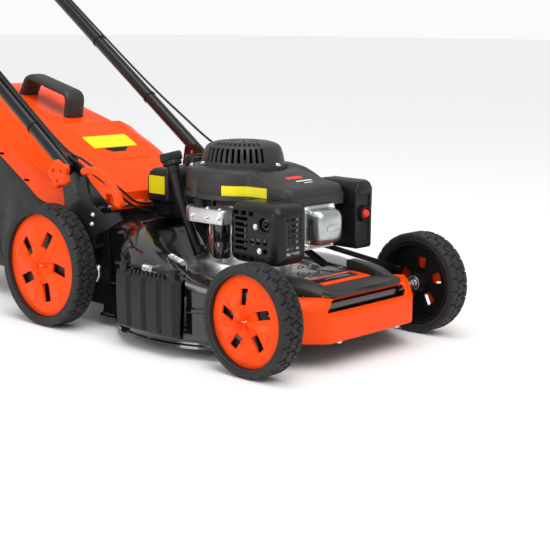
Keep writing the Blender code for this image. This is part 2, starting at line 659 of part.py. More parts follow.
def make_crankshaft():
    """Crankshaft with its belt groove and blade boss, the flywheel on top and the blade below."""
    shaft = [
        (0.0, 0.3450), (0.0100, 0.3450), (0.0100, 0.1160), (0.0300, 0.1120), (0.0240, 0.1040),
        (0.0300, 0.0960), (0.0130, 0.0920), (0.0130, 0.0460), (0.0260, 0.0420), (0.0260, 0.0346),
        (0.0, 0.0346),
    ]  # fmt: skip
    turned("crankshaft", shaft, (0, SPINDLE_Y, 0), (0, 0, 1), STEEL, 16)
    wheel = [
        (0.0106, 0.322), (0.030, 0.322), (0.034, 0.300), (0.088, 0.300), (0.092, 0.322), (0.097, 0.322),
        (0.097, 0.276), (0.0106, 0.276),
    ]  # fmt: skip
    turned("flywheel", wheel, (0, SPINDLE_Y, 0), (0, 0, 1), ALUMINIUM, 24, ring=True)
    half, chord, low, thick = 0.232, 0.026, 0.0300, 0.0040
    tip = [(-half, 0.014), (-0.170, 0.010), (-0.150, 0.0)]
    rows = []
    for x, lift in tip + [(-x, lift) for x, lift in reversed(tip)]:
        front_lift, rear_lift = (0.0, lift) if x > 0 else (lift, 0.0)
        front_y, rear_y = SPINDLE_Y - chord, SPINDLE_Y + chord
        rows.append([
            (x, front_y, low + front_lift), (x, rear_y, low + rear_lift),
            (x, rear_y, low + thick + rear_lift), (x, front_y, low + thick + front_lift),
        ])  # fmt: skip
    skin("blade", rows, STEEL, 0.0, around=True, caps=(0, -1))


def make_drive():
    """The belt from the crankshaft's groove to the pulley on the gearbox."""
    pulley_y, pulley_z, front_z, run_radius = back(0.560), 0.0820, 0.1040, 0.0305
    groove = [
        (0.0, 0.0115), (0.0060, 0.0115), (0.0060, 0.0080), (0.0300, 0.0080), (0.0240, 0.0),
        (0.0300, -0.0080), (0.0, -0.0080),
    ]  # fmt: skip
    turned("input_pulley", groove, (0, pulley_y, pulley_z), (0, 0, 1), STEEL, 16)
    half_turn, path = 8, []
    for i in range(half_turn + 1):
        angle = math.pi * i / half_turn
        path.append((run_radius * math.cos(angle), pulley_y + run_radius * math.sin(angle), pulley_z))
    for i in range(half_turn + 1):
        angle = math.pi + math.pi * i / half_turn
        path.append((run_radius * math.cos(angle), SPINDLE_Y + run_radius * math.sin(angle), front_z))
    rod("drive_belt", path, 0.0035, BLACK_PLASTIC, 1, closed=True)


# ---------------------------------------------------------------- flap and catcher
def hood_section(y, z, half, drop, edge):
    """Points across a hood from edge to edge: side wall, shoulder, raised panel."""
    side = [
        (-half, y, edge), (-half, y, z - drop), (-SHOULDER_HALF, y, z - drop * 0.22), (-PANEL_HALF, y, z),
    ]  # fmt: skip
    return side + [(-x, y, height) for x, y, height in reversed(side)]


def flap_line(y):
    """The height of the flap's panel over a point, carried on past its end, where it levels out."""
    along = y - FLAP_PIVOT[0]
    return FLAP_PIVOT[1] + 0.018 + FLAP_SLOPE * along - 0.010 * smooth((along - 0.140) / 0.100)


def make_flap():
    """The sprung rear flap that lies on the catcher, on its hinge rod."""
    base_y, base_z = FLAP_PIVOT
    rows = []
    for along in (0.012, 0.060, 0.120, 0.160, 0.200, FLAP_LENGTH):
        z = flap_line(base_y + along)
        drop = 0.006 + (SHOULDER_DROP - 0.006) * smooth(along / 0.10)
        rows.append(hood_section(base_y + along, z, HOOD_HALF, drop, z - drop - 0.004))
    flap = skin("rear_flap", rows, ORANGE, 0.0035, around=False)
    knuckle = cylinder("flap_knuckle", (0, base_y, base_z), 0.0085, 0.300, (1, 0, 0), None, 14)
    combine(flap, knuckle, "UNION")
    web = block("flap_web", (-0.150, base_y + 0.002, base_z), (0.150, base_y + 0.016, base_z + 0.0270), None)
    combine(flap, web, "UNION")
    bore = cylinder("flap_bore", (0, base_y, base_z), 0.0048, 0.5, (1, 0, 0), None, 14)
    combine(flap, bore, "DIFFERENCE")
    cylinder("flap_hinge_rod", (0, base_y, base_z), 0.0040, 0.362, (1, 0, 0), STEEL, 10)


def make_catcher():
    """Hard lid, fabric bag under it, and the carrying handle on top."""
    tail_y, below = back(1.135), 0.012
    lid = []
    for y, top, edge in (
        (back(0.622), None, 0.2300), (back(0.700), None, 0.2380), (back(0.755), 0.3900, 0.2700),
        (back(0.860), 0.4190, 0.3330), (back(0.980), 0.4520, 0.4050), (back(1.080), 0.4660, 0.4350),
        (tail_y, 0.4580, 0.4350),
    ):  # fmt: skip
        z = flap_line(y) - below if top is None else top
        drop = min(SHOULDER_DROP, z - edge - 0.004)
        lid.append(hood_section(y, z, HOOD_HALF - 0.001, drop, edge))
    catcher = skin("catcher_lid", lid, ORANGE, 0.003, around=False)
    back_wall = block("lid_back", (-0.162, tail_y - 0.0045, 0.4360), (0.162, tail_y - 0.0005, 0.4500), None)
    combine(catcher, back_wall, "UNION")
    rows = []
    for y, edge, floor, half in (
        (back(0.650), 0.2280, 0.2000, 0.155), (back(0.700), 0.2360, 0.0950, 0.160),
        (back(0.860), 0.3320, 0.0640, 0.163), (back(0.980), 0.4030, 0.0750, 0.163),
        (back(1.120), 0.4340, 0.1150, 0.158),
    ):  # fmt: skip
        side = [(-half, y, edge), (-half, y, floor + 0.035), (-half + 0.030, y, floor)]
        rows.append(side + [(-x, y, z) for x, y, z in reversed(side)])
    skin("catcher_bag", rows, FABRIC, 0.004, around=False, caps=(-1,))
    leg = [
        (0.0, back(0.792), 0.4080), (0.0, back(0.784), 0.4520), (0.0, back(0.930), 0.4880),
        (0.0, back(0.955), 0.4530),
    ]  # fmt: skip
    rod("catcher_handle", filleted(leg, 0.02, 2), 0.0110, GREY_PLASTIC, 2)


# ---------------------------------------------------------------- handle
def along_handle(distance, x, off=0.0):
    """A point on a handle tube's line, this far above the fold, and off above the tube."""
    y, z = HANDLE_PIVOT
    run, rise = math.cos(HANDLE_TILT), math.sin(HANDLE_TILT)
    return (x, y + distance * run - off * rise, z + distance * rise + off * run)


def make_handle():
    """The folding handle bar with its two bails; returns the tube's length above the fold."""
    reach = (LENGTH / 2 - TUBE_RADIUS - HANDLE_PIVOT[0]) / math.cos(HANDLE_TILT)
    stub = -0.022
    corners = [
        along_handle(stub, -HANDLE_X), along_handle(reach, -HANDLE_X),
        along_handle(reach, HANDLE_X), along_handle(stub, HANDLE_X),
    ]  # fmt: skip
    bar = to_mesh(rod("handle_bar", filleted(corners, 0.070, 5), TUBE_RADIUS, BLACK_STEEL, 3))
    hole = cylinder("fold_bore", (0, *HANDLE_PIVOT), 0.0050, 0.5, (1, 0, 0), None, 12)
    combine(bar, hole, "DIFFERENCE")
    inner = HANDLE_X - TUBE_RADIUS - 0.006
    bails = (("brake_bail", 0.215, 0.165, 0.046), ("drive_bail", 0.255, 0.190, -0.048))
    for name, start, depth, off in bails:
        base, tip = reach - start, reach - start + depth
        eye_centre = along_handle(base, 0.0)
        eye = cylinder(name + "_eye", eye_centre, BAIL_RADIUS + BAIL_PLAY, 2 * HANDLE_X, (1, 0, 0), None, 12)
        combine(bar, eye, "DIFFERENCE")
        side = [
            along_handle(base, 0.001 - HANDLE_X), along_handle(base, -inner),
            along_handle(base + 0.030, -inner, off * 0.5), along_handle(tip, 0.010 - inner, off),
        ]  # fmt: skip
        path = side + [(-x, y, z) for x, y, z in reversed(side)]
        rod(name, filleted(path, 0.03, 3), BAIL_RADIUS, BLACK_STEEL, 1)
    return reach


def make_clamps():
    for side, sign in (("right", -1), ("left", 1)):
        seat = HANDLE_X + TUBE_RADIUS + GAP
        knob = block(f"clamp_{side}", (-0.011, -0.030, -0.022), (0.011, 0.022, 0.026), ORANGE, 0.009)
        knob.location = (sign * (seat + 0.011), HANDLE_PIVOT[0] - 0.014, HANDLE_PIVOT[1] - 0.012)
        centre = (sign * (seat + 0.170) / 2, *HANDLE_PIVOT)
        bolt = cylinder(f"clamp_bolt_{side}", centre, 0.0040, seat - 0.168, (1, 0, 0), None, 10)
        combine(knob, bolt, "UNION")


def make_cables(reach):
    """Two sheathed cables down the chute-side tube to the engine, and one down the other tube."""
    over = TUBE_RADIUS + 0.0045
    for name, shift, high, end in (
        ("drive_cable", 0.0, 0.0, (-0.060, back(0.4700), 0.2270)),
        ("brake_cable", 0.0072, 0.0090, (-0.020, back(0.4680), 0.2440)),
    ):
        x = shift - HANDLE_X
        path = [
            along_handle(reach - 0.250, x, over), along_handle(0.300, x, over),
            along_handle(0.040, x, over + 0.002), (0.0010 + x, back(0.5300), 0.3270 + high),
            (0.0100 + x, back(0.4700), 0.2960 + high), (0.0400 + x, back(0.4540), 0.2660 + high),
            (0.0860 + x, back(0.4620), 0.2400 + high), end,
        ]  # fmt: skip
        rod(name, curved(path, 36), 0.0026, BLACK_PLASTIC, 1)
    path = [
        along_handle(reach - 0.250, HANDLE_X, over), along_handle(0.300, HANDLE_X, over + 0.004),
        along_handle(0.060, HANDLE_X - 0.004, over + 0.020), (0.1820, back(0.530), 0.3500),
        (0.1760, back(0.460), 0.3200), (0.1560, back(0.400), 0.2900), (0.1300, back(0.330), 0.2620),
    ]  # fmt: skip
    rod("stop_cable", curved(path, 32), 0.0026, BLACK_PLASTIC, 1)


make_deck()
make_ramp()
make_side_plates()
make_front()
make_side_cover()
make_wheel("front_right", -1, FRONT_AXLE_Y, FRONT_RADIUS, FRONT_DISC, FRONT_TYRE_WIDTH)
make_wheel("front_left", 1, FRONT_AXLE_Y, FRONT_RADIUS, FRONT_DISC, FRONT_TYRE_WIDTH)
make_wheel("rear_right", -1, REAR_AXLE_Y, REAR_RADIUS, REAR_DISC, REAR_TYRE_WIDTH)
make_wheel("rear_left", 1, REAR_AXLE_Y, REAR_RADIUS, REAR_DISC, REAR_TYRE_WIDTH)
make_axles()
make_height_link()
make_height_lever()
make_engine_block()
make_head()
make_muffler()
make_housing()
make_intake()
make_fuel_and_oil()
make_starter()
make_crankshaft()
make_drive()
make_flap()
make_catcher()
make_cables(make_handle())
make_clamps()
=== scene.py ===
"""Looks of a walk-behind petrol lawn mower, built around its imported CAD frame. Metres, +Z up,
-Y forward; -X is the side with the chute cover and the height lever."""

import math

import bmesh
import bpy
from mathutils import Matrix, Vector, noise
from mathutils.bvhtree import BVHTree


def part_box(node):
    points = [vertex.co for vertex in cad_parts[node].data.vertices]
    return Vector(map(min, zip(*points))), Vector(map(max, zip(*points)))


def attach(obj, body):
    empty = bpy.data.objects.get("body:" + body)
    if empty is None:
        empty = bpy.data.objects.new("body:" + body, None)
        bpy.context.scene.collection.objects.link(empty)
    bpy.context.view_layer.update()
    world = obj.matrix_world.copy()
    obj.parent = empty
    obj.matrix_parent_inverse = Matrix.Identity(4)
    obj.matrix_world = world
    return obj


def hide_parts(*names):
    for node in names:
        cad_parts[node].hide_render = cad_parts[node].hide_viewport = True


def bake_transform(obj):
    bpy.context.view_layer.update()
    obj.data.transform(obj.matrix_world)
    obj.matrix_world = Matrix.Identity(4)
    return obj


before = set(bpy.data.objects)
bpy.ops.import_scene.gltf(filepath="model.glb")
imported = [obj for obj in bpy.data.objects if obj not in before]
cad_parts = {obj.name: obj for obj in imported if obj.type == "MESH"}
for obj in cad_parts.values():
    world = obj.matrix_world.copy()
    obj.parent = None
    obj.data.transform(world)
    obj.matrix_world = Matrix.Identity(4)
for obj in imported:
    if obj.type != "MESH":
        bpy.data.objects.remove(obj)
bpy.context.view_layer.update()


def middle(node):
    """The middle of a CAD node's box."""
    low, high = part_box(node)
    return (low + high) / 2


FRONT_Y = middle("tyre_front_right").y
SPINDLE = middle("crankshaft")
DECK_TOP, SEAT_GAP = 0.122, 0.0004
HOUSING_RADIUS = 0.117
BELT_Z = 0.104
HANDLE_TILT = math.radians(35)
FOLD = Vector((0.0, FRONT_Y + 0.585, 0.3265))
HANDLE_X = 0.1905
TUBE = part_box("handle_bar")[1].x - HANDLE_X
X_AXIS, Y_AXIS, UP, DOWN = (1, 0, 0), (0, 1, 0), (0, 0, 1), (0, 0, -1)
BAIL_STARTS = {"brake_bail": 0.215, "drive_bail": 0.255}


def back(distance):
    """The y of a point this far behind the front axle."""
    return FRONT_Y + distance


def at(x, distance, z):
    """A point given by its distance behind the front axle."""
    return Vector((x, FRONT_Y + distance, z))


# ---------------------------------------------------------------- materials
def new_material(name, colour, roughness, metallic=0.0, coat=0.0, sheen=0.0, shine=0.5):
    """A material with its constants set, and the object coordinates for its patterns."""
    made = bpy.data.materials.new(name)
    made.use_nodes = True
    tree = made.node_tree
    shader = tree.nodes["Principled BSDF"]
    shader.inputs["Base Color"].default_value = (*colour, 1.0)
    shader.inputs["Roughness"].default_value = roughness
    shader.inputs["Metallic"].default_value = metallic
    shader.inputs["Coat Weight"].default_value = coat
    shader.inputs["Specular IOR Level"].default_value = shine
    shader.inputs["Coat Roughness"].default_value = 0.08
    shader.inputs["Sheen Weight"].default_value = sheen
    where = tree.nodes.new("ShaderNodeTexCoord")
    return made, tree, shader, where.outputs["Object"]


def noise_node(tree, where, scale, detail=2.0):
    made = tree.nodes.new("ShaderNodeTexNoise")
    made.inputs["Scale"].default_value = scale
    made.inputs["Detail"].default_value = detail
    tree.links.new(where, made.inputs["Vector"])
    return made.outputs["Fac"]


def spread(tree, source, low, high, start=0.35, end=0.65):
    """Maps a noise between two values."""
    made = tree.nodes.new("ShaderNodeMapRange")
    made.inputs["From Min"].default_value = start
    made.inputs["From Max"].default_value = end
    made.inputs["To Min"].default_value = low
    made.inputs["To Max"].default_value = high
    tree.links.new(source, made.inputs["Value"])
    return made.outputs["Result"]


def tint(tree, source, dark, light, shader):
    """Varies the base colour between two shades."""
    mix = tree.nodes.new("ShaderNodeMix")
    mix.data_type = "RGBA"
    mix.inputs["A"].default_value = (*dark, 1.0)
    mix.inputs["B"].default_value = (*light, 1.0)
    tree.links.new(source, mix.inputs["Factor"])
    tree.links.new(mix.outputs["Result"], shader.inputs["Base Color"])


def bump(tree, height, strength, distance, shader):
    made = tree.nodes.new("ShaderNodeBump")
    made.inputs["Strength"].default_value = strength
    made.inputs["Distance"].default_value = distance
    tree.links.new(height, made.inputs["Height"])
    tree.links.new(made.outputs["Normal"], shader.inputs["Normal"])


def shade(colour, factor):
    return tuple(min(1.0, c * factor) for c in colour)


def moulded(name, colour, roughness, grain=900.0, depth=0.00012, coat=0.0, vary=0.08, shine=0.3):
    """Moulded plastic or rubber: a fine grain, a slow drift of colour and gloss."""
    made, tree, shader, where = new_material(name, colour, roughness, coat=coat, shine=shine)
    drift = noise_node(tree, where, 9.0, 3.0)
    tint(tree, spread(tree, drift, 0.0, 1.0), shade(colour, 1 - vary), shade(colour, 1 + vary), shader)
    smear = noise_node(tree, where, 26.0, 4.0)
    tree.links.new(spread(tree, smear, roughness - 0.04, roughness + 0.05), shader.inputs["Roughness"])
    bump(tree, noise_node(tree, where, grain, 1.0), 0.35, depth, shader)
    return made


def metal(name, colour, roughness, grain=260.0, depth=0.0002, brushed=False, metallic=1.0, coat=0.0):
    """Bare or painted metal: cast grain, or brush marks along one way."""
    made, tree, shader, where = new_material(name, colour, roughness, metallic, coat)
    if brushed:
        stretch = tree.nodes.new("ShaderNodeMapping")
        stretch.inputs["Scale"].default_value = (8.0, 1.0, 60.0)
        tree.links.new(where, stretch.inputs["Vector"])
        where = stretch.outputs["Vector"]
    drift = noise_node(tree, where, 14.0, 4.0)
    tint(tree, spread(tree, drift, 0.0, 1.0), shade(colour, 0.8), shade(colour, 1.12), shader)
    smear = noise_node(tree, where, 40.0, 3.0)
    tree.links.new(spread(tree, smear, roughness - 0.06, roughness + 0.1), shader.inputs["Roughness"])
    bump(tree, noise_node(tree, where, grain, 2.0), 0.4, depth, shader)
    return made


def woven(name, colour):
    """Polyester cloth: two crossed sets of threads."""
    made, tree, shader, where = new_material(name, colour, 0.85, sheen=0.25)
    heights = []
    for axis in ("X", "Z"):
        wave = tree.nodes.new("ShaderNodeTexWave")
        wave.bands_direction = axis
        wave.inputs["Scale"].default_value = 260.0
        wave.inputs["Distortion"].default_value = 0.6
        tree.links.new(where, wave.inputs["Vector"])
        heights.append(wave.outputs["Fac"])
    mix = tree.nodes.new("ShaderNodeMath")
    mix.operation = "MULTIPLY"
    tree.links.new(heights[0], mix.inputs[0])
    tree.links.new(heights[1], mix.inputs[1])
    tint(tree, mix.outputs["Value"], shade(colour, 0.6), shade(colour, 1.5), shader)
    bump(tree, mix.outputs["Value"], 0.5, 0.0004, shader)
    return made


ORANGE = moulded("orange_moulding", (0.9, 0.066, 0.002), 0.36, 700.0, 0.00006, 0.05, 0.03, 0.14)
GLOSS = metal("gloss_black_paint", (0.006, 0.006, 0.006), 0.14, 420.0, 0.00006, metallic=0.0, coat=0.8)
SATIN = moulded("satin_black", (0.008, 0.008, 0.0085), 0.36, 900.0, 0.0001)
GREY = moulded("grained_charcoal", (0.03, 0.03, 0.0285), 0.44, 1300.0, 0.0002)
LIGHT_GREY = moulded("grained_grey", (0.055, 0.055, 0.053), 0.46, 1300.0, 0.00016)
RUBBER = moulded("tyre_rubber_matt", (0.02, 0.02, 0.0195), 0.6, 420.0, 0.00025, vary=0.2)
CABLE = moulded("cable_sheath", (0.018, 0.018, 0.018), 0.42, 500.0, 0.00005)
RED = moulded("red_silicone", (0.8, 0.02, 0.012), 0.32, 600.0, 0.00005, 0.2)
ZINC = metal("bright_zinc", (0.78, 0.79, 0.78), 0.24, 300.0, 0.00006, brushed=True)
PRESSED = metal("pressed_zinc", (0.52, 0.55, 0.53), 0.3, 120.0, 0.0001)
CAST = metal("cast_alloy", (0.72, 0.72, 0.71), 0.38, 520.0, 0.00045)
FABRIC = woven("bag_cloth", (0.012, 0.012, 0.013))
YELLOW = moulded("yellow_label", (0.86, 0.72, 0.006), 0.42, 500.0, 0.00003)
PAINTED = moulded("satin_paint", (0.007, 0.007, 0.0072), 0.3, 500.0, 0.00005, 0.15, 0.08, 0.35)
LIGHT_LINE = moulded("pale_print", (0.6, 0.6, 0.58), 0.5, 500.0, 0.00002)


# ---------------------------------------------------------------- making and finishing meshes
def to_object(name, bm, sharp=38.0):
    """Turns a mesh under construction into a smooth-shaded object with sharp corners kept."""
    bmesh.ops.recalc_face_normals(bm, faces=bm.faces)
    mesh = bpy.data.meshes.new(name)
    bm.to_mesh(mesh)
    bm.free()
    mesh.shade_smooth()
    mesh.set_sharp_from_angle(angle=math.radians(sharp))
    obj = bpy.data.objects.new(name, mesh)
    bpy.context.scene.collection.objects.link(obj)
    return obj


def soften_edges(obj, width, segments, angle):
    step = obj.modifiers.new("edges", "BEVEL")
    step.width = width
    step.segments = segments
    step.limit_method = "ANGLE"
    step.angle_limit = math.radians(angle)


def settle(obj, *cutters, union=(), bevel=0.0, segments=2, sharp=38.0, angle=32.0):
    """Joins, cuts and bevels a piece for good, and takes the helpers away."""
    for helper in (*union, *cutters):
        step = obj.modifiers.new("shape", "BOOLEAN")
        step.operation = "UNION" if helper in union else "DIFFERENCE"
        step.object = helper
    if bevel:
        soften_edges(obj, bevel, segments, angle)
    bpy.context.view_layer.update()
    graph = bpy.context.evaluated_depsgraph_get()
    mesh = bpy.data.meshes.new_from_object(obj.evaluated_get(graph))
    mesh.shade_smooth()
    mesh.set_sharp_from_angle(angle=math.radians(sharp))
    obj.modifiers.clear()
    obj.data = mesh
    for helper in (*union, *cutters):
        bpy.data.objects.remove(helper)
    return obj


def coat(obj, finish):
    """Gives a piece its material."""
    obj.data.materials.clear()
    obj.data.materials.append(finish)


def dress(obj, finish, body, *nodes):
    """Gives a piece its material and its body, and hides the CAD nodes that it stands for."""
    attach(obj, body)
    coat(obj, finish)
    if nodes:
        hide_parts(*nodes)
    return obj


def keep_node(node, finish, bevel=0.0, segments=2):
    """A CAD node whose shape is right: it gets its finish, and softer edges."""
    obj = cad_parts[node]
    coat(obj, finish)
    if bevel:
        soften_edges(obj, bevel, segments, 40)


def box(name, low, high, bevel=0.0, segments=2):
    bm = bmesh.new()
    bmesh.ops.create_cube(bm, size=1.0)
    size = Vector(high) - Vector(low)
    bmesh.ops.scale(bm, vec=size, verts=bm.verts)
    bmesh.ops.translate(bm, vec=(Vector(low) + Vector(high)) / 2, verts=bm.verts)
    if bevel:
        bmesh.ops.bevel(bm, geom=bm.edges[:], offset=bevel, segments=segments, profile=0.5, affect="EDGES")
    return to_object(name, bm)


def frame_along(axis, up=(0.0, 0.0, 1.0)):
    """A rotation whose Z is the axis and whose Y is as near up as it can be."""
    z = Vector(axis).normalized()
    near = Vector(up)
    if abs(z.dot(near)) > 0.99:
        near = Vector((0.0, 1.0, 0.0))
    x = near.cross(z).normalized()
    y = z.cross(x)
    return Matrix((x, y, z)).transposed().to_4x4()


def circle(count, first=0.0):
    """The cosine and sine of each step round a circle."""
    turns = [2 * math.pi * (k + first) / count for k in range(count)]
    return [(math.cos(turn), math.sin(turn)) for turn in turns]


def add_turned(bm, profile, centre, axis, steps=32, closed=False):
    """Adds a turned shape to a mesh: (radius, height) points, from one end to the other."""
    place = Matrix.Translation(centre) @ frame_along(axis)
    rings = []
    for radius, height in profile:
        if radius < 1e-6:
            rings.append([bm.verts.new(place @ Vector((0, 0, height)))])
            continue
        ring = [place @ Vector((radius * c, radius * s, height)) for c, s in circle(steps)]
        rings.append([bm.verts.new(p) for p in ring])
    pairs = list(zip(rings, rings[1:]))
    if closed:
        pairs.append((rings[-1], rings[0]))
    for first, second in pairs:
        for i in range(steps):
            j = (i + 1) % steps
            corners = [(first, i), (first, j), (second, j), (second, i)]
            bm.faces.new(dict.fromkeys(ring[k % len(ring)] for ring, k in corners))


def turned(name, profile, centre, axis, steps=32, closed=False, sharp=38.0):
    bm = bmesh.new()
    add_turned(bm, profile, centre, axis, steps, closed)
    return to_object(name, bm, sharp)


def round_bar(name, radius, start, end, centre, axis, steps=24):
    """A round bar or cutter between two distances from a centre."""
    return turned(name, [(0.0, start), (radius, start), (radius, end), (0.0, end)], centre, axis, steps)


def spun(shape, centre, degrees):
    """Turns a helper about an upright line."""
    shape.matrix_world = Matrix.Translation(centre) @ Matrix.Rotation(math.radians(degrees), 4, "Z")
    return shape


def grid(name, rows, closed=False, caps=(), thickness=0.0, sharp=38.0):
    """A surface over rows of points, thickened inwards where a wall is wanted."""
    bm = bmesh.new()
    net = [[bm.verts.new(p) for p in row] for row in rows]
    count = len(net[0])
    for first, second in zip(net, net[1:]):
        for i in range(count if closed else count - 1):
            j = (i + 1) % count
            bm.faces.new((first[i], first[j], second[j], second[i]))
    for index in caps:
        bm.faces.new(net[index])
    bmesh.ops.remove_doubles(bm, verts=bm.verts, dist=1e-6)
    obj = to_object(name, bm, sharp)
    if thickness:
        step = obj.modifiers.new("wall", "SOLIDIFY")
        step.thickness = thickness
        step.offset = -1.0
        settle(obj, sharp=sharp)
    return obj


def prism(name, outline, axis, start, end, bevel=0.0, segments=2):
    """A flat outline pushed along x, y or z. The outline's two numbers are the other two axes."""
    order = {"x": (2, 0, 1), "y": (0, 2, 1), "z": (0, 1, 2)}[axis]
    bm = bmesh.new()
    sides = []
    for level in (start, end):
        sides.append([bm.verts.new([(*point, level)[k] for k in order]) for point in outline])
    bm.faces.new(sides[0])
    bm.faces.new(sides[1][::-1])
    for i in range(len(outline)):
        j = (i + 1) % len(outline)
        bm.faces.new((sides[0][j], sides[0][i], sides[1][i], sides[1][j]))
    if bevel:
        bmesh.ops.recalc_face_normals(bm, faces=bm.faces)
        bmesh.ops.bevel(bm, geom=bm.edges[:], offset=bevel, segments=segments, profile=0.5, affect="EDGES")
    return to_object(name, bm)


def rounded(points, radius, steps=4, closed=True):
    """A path or outline with its corners rounded."""
    spots = [Vector(p) for p in points]
    count = len(spots)
    path = [] if closed else [spots[0]]
    for i in range(0 if closed else 1, count if closed else count - 1):
        before, corner, after = spots[i - 1], spots[i], spots[(i + 1) % count]
        towards, away = before - corner, after - corner
        half = max(0.05, towards.angle(away) / 2)
        cut = min(radius / math.tan(half), towards.length * 0.45, away.length * 0.45)
        start, end = corner + towards.normalized() * cut, corner + away.normalized() * cut
        for k in range(steps + 1):
            t = k / steps
            path.append(start.lerp(corner, t).lerp(corner.lerp(end, t), t))
    if not closed:
        path.append(spots[-1])
    return path


def softened(outline, radius, steps):
    """A flat outline with its corners rounded."""
    return [(p.x, p.y) for p in rounded([(x, y, 0) for x, y in outline], radius, steps)]


def densified(path, step):
    """A path with more points on its long stretches."""
    dense = []
    for first, second in zip(path, path[1:]):
        count = max(1, int((second - first).length / step))
        dense += [first.lerp(second, k / count) for k in range(count)]
    return [*dense, path[-1]]


def headings(path):
    """The direction of a path at each of its points."""
    last = len(path) - 1
    return [(path[min(i + 1, last)] - path[max(i - 1, 0)]).normalized() for i in range(last + 1)]


def strap(path, section, power, sides):
    """Rounded-square rows along a path of constant x; section gives half the width and height."""
    across = Vector(X_AXIS)
    rows = []
    for i, (spot, along) in enumerate(zip(path, headings(path))):
        over = along.cross(across)
        wide, tall = section(i / (len(path) - 1))
        row = []
        for u, v in circle(sides):
            square = (abs(u) ** power + abs(v) ** power) ** (-1 / power)
            row.append(spot + across * u * square * wide + over * v * square * tall)
        rows.append(row)
    return rows


def add_tube(bm, path, radius, sides=10, closed=False):
    """Adds a round bar along a path; its radius may change along it."""
    spots = [Vector(p) for p in path]
    count = len(spots)
    rings = []
    up = Vector((0.0, 0.0, 1.0))
    for i, spot in enumerate(spots):
        before = spots[i - 1] if i or closed else spot
        after = spots[(i + 1) % count] if i < count - 1 or closed else spot
        along = (after - before).normalized()
        if i == 0:
            up = Vector((1.0, 0.0, 0.0)) if abs(along.z) > 0.9 else up
        side = along.cross(up).normalized()
        up = side.cross(along)
        wide = radius(i / (count - 1)) if callable(radius) else radius
        ring = [spot + (side * c + up * s) * wide for c, s in circle(sides)]
        rings.append([bm.verts.new(p) for p in ring])
    pairs = list(zip(rings, rings[1:]))
    if closed:
        pairs.append((rings[-1], rings[0]))
    for first, second in pairs:
        for k in range(sides):
            j = (k + 1) % sides
            bm.faces.new((first[k], first[j], second[j], second[k]))
    if not closed:
        bm.faces.new(rings[0][::-1])
        bm.faces.new(rings[-1])


def tube(name, path, radius, sides=12, closed=False):
    bm = bmesh.new()
    add_tube(bm, path, radius, sides, closed)
    return to_object(name, bm)


def curved(points, count):
    """Evenly many points on a smooth curve through the given ones."""
    given = [Vector(p) for p in points]
    ends = [given[0] * 2 - given[1], *given, given[-1] * 2 - given[-2]]
    path = []
    for i in range(count + 1):
        place = i / count * (len(given) - 1)
        k = min(int(place), len(given) - 2)
        t = place - k
        a, b, c, d = ends[k : k + 4]
        square, cube = 2 * a - 5 * b + 4 * c - d, 3 * b - a - 3 * c + d
        path.append(0.5 * (2 * b + (c - a) * t + square * t * t + cube * t * t * t))
    return path


def bolts(name, places, body, finish=ZINC):
    """Hex-headed screws with washers: (centre, outward axis, head radius) of each."""
    bm = bmesh.new()
    for centre, axis, radius in places:
        washer = [(0.0, 0.0), (radius * 1.5, 0.0), (radius * 1.5, radius * 0.25), (0.0, radius * 0.25)]
        add_turned(bm, washer, centre, axis, 18)
        head = [
            (radius * 1.02, radius * 0.2), (radius * 1.02, radius * 0.75), (radius * 0.86, radius * 0.95),
            (radius * 0.55, radius * 0.95), (radius * 0.45, radius * 0.8), (0.0, radius * 0.8),
        ]
        add_turned(bm, [(0.0, radius * 0.2), *head], centre, axis, 6)
    return dress(to_object(name, bm, 25.0), finish, body)


def smooth(t):
    """An S-shaped step from 0 to 1."""
    t = min(1.0, max(0.0, t))
    return t * t * (3 - 2 * t)


def zigzag(t):
    """A triangle wave from -1 to 1 with a period of 1."""
    return 4 * abs(t % 1.0 - 0.5) - 1


# ---------------------------------------------------------------- wheels
def tread_depth(across, turn, half, pitch):
    """The depth share of the tyre's grooves: two zigzag rings, and slanted cuts between them."""
    zig = 0.17 * zigzag(turn * 2)
    rings = min(abs(across - 0.36 - zig), abs(across + 0.36 - zig)) * half
    row = 0.5 if abs(across - zig) < 0.36 else 0.0
    phase = (turn + row + 0.26 * across) % 1.0
    cut = min(phase, 1 - phase) * pitch
    return (1 - smooth((min(rings, cut) - 0.0008) / 0.0012)) * (1 - 0.6 * smooth((abs(across) - 0.8) / 0.18))


def make_tyre(place, side, centre, radius, disc, width, body):
    """A tyre with its side walls and its cut tread, in rows round the axle."""
    steps, lugs = 448, 28 if radius > 0.11 else 24
    half, pitch = width / 2, 2 * math.pi * radius / lugs
    top = radius - 0.0004
    profile = [(disc + 0.0003, -half + 0.002), (disc + 0.003, -half + 0.0006), (disc + 0.006, -half + 0.0014)]
    profile += [(top - 0.012, -half + 0.0006), (top - 0.007, -half + 0.0003)]
    tread = 26
    for k in range(tread + 1):
        u = 2 * k / tread - 1
        edge = max(0.0, abs(u) - 0.8) / 0.2
        profile.append((top - 0.0045 * edge ** 2, u * (half - 0.0006)))
    profile += [(top - 0.007, half - 0.0003), (top - 0.012, half - 0.0006), (disc + 0.006, half - 0.0014)]
    profile += [(disc + 0.003, half - 0.0006), (disc + 0.0003, half - 0.002)]
    place_at = Matrix.Translation(centre) @ frame_along((side, 0, 0))
    rows = []
    for i in range(steps):
        a = 2 * math.pi * i / steps
        row = []
        for reach, h in profile:
            sunk = 0.0
            if reach > top - 0.01:
                sunk = 0.0036 * tread_depth(h / half, i * lugs / steps, half, pitch)
            row.append(place_at @ Vector(((reach - sunk) * math.cos(a), (reach - sunk) * math.sin(a), h)))
        rows.append(row)
    rows.append(rows[0])
    tyre = grid("treaded_tyre_" + place, rows, closed=True, sharp=30.0)
    dress(tyre, RUBBER, body, "tyre_" + place)


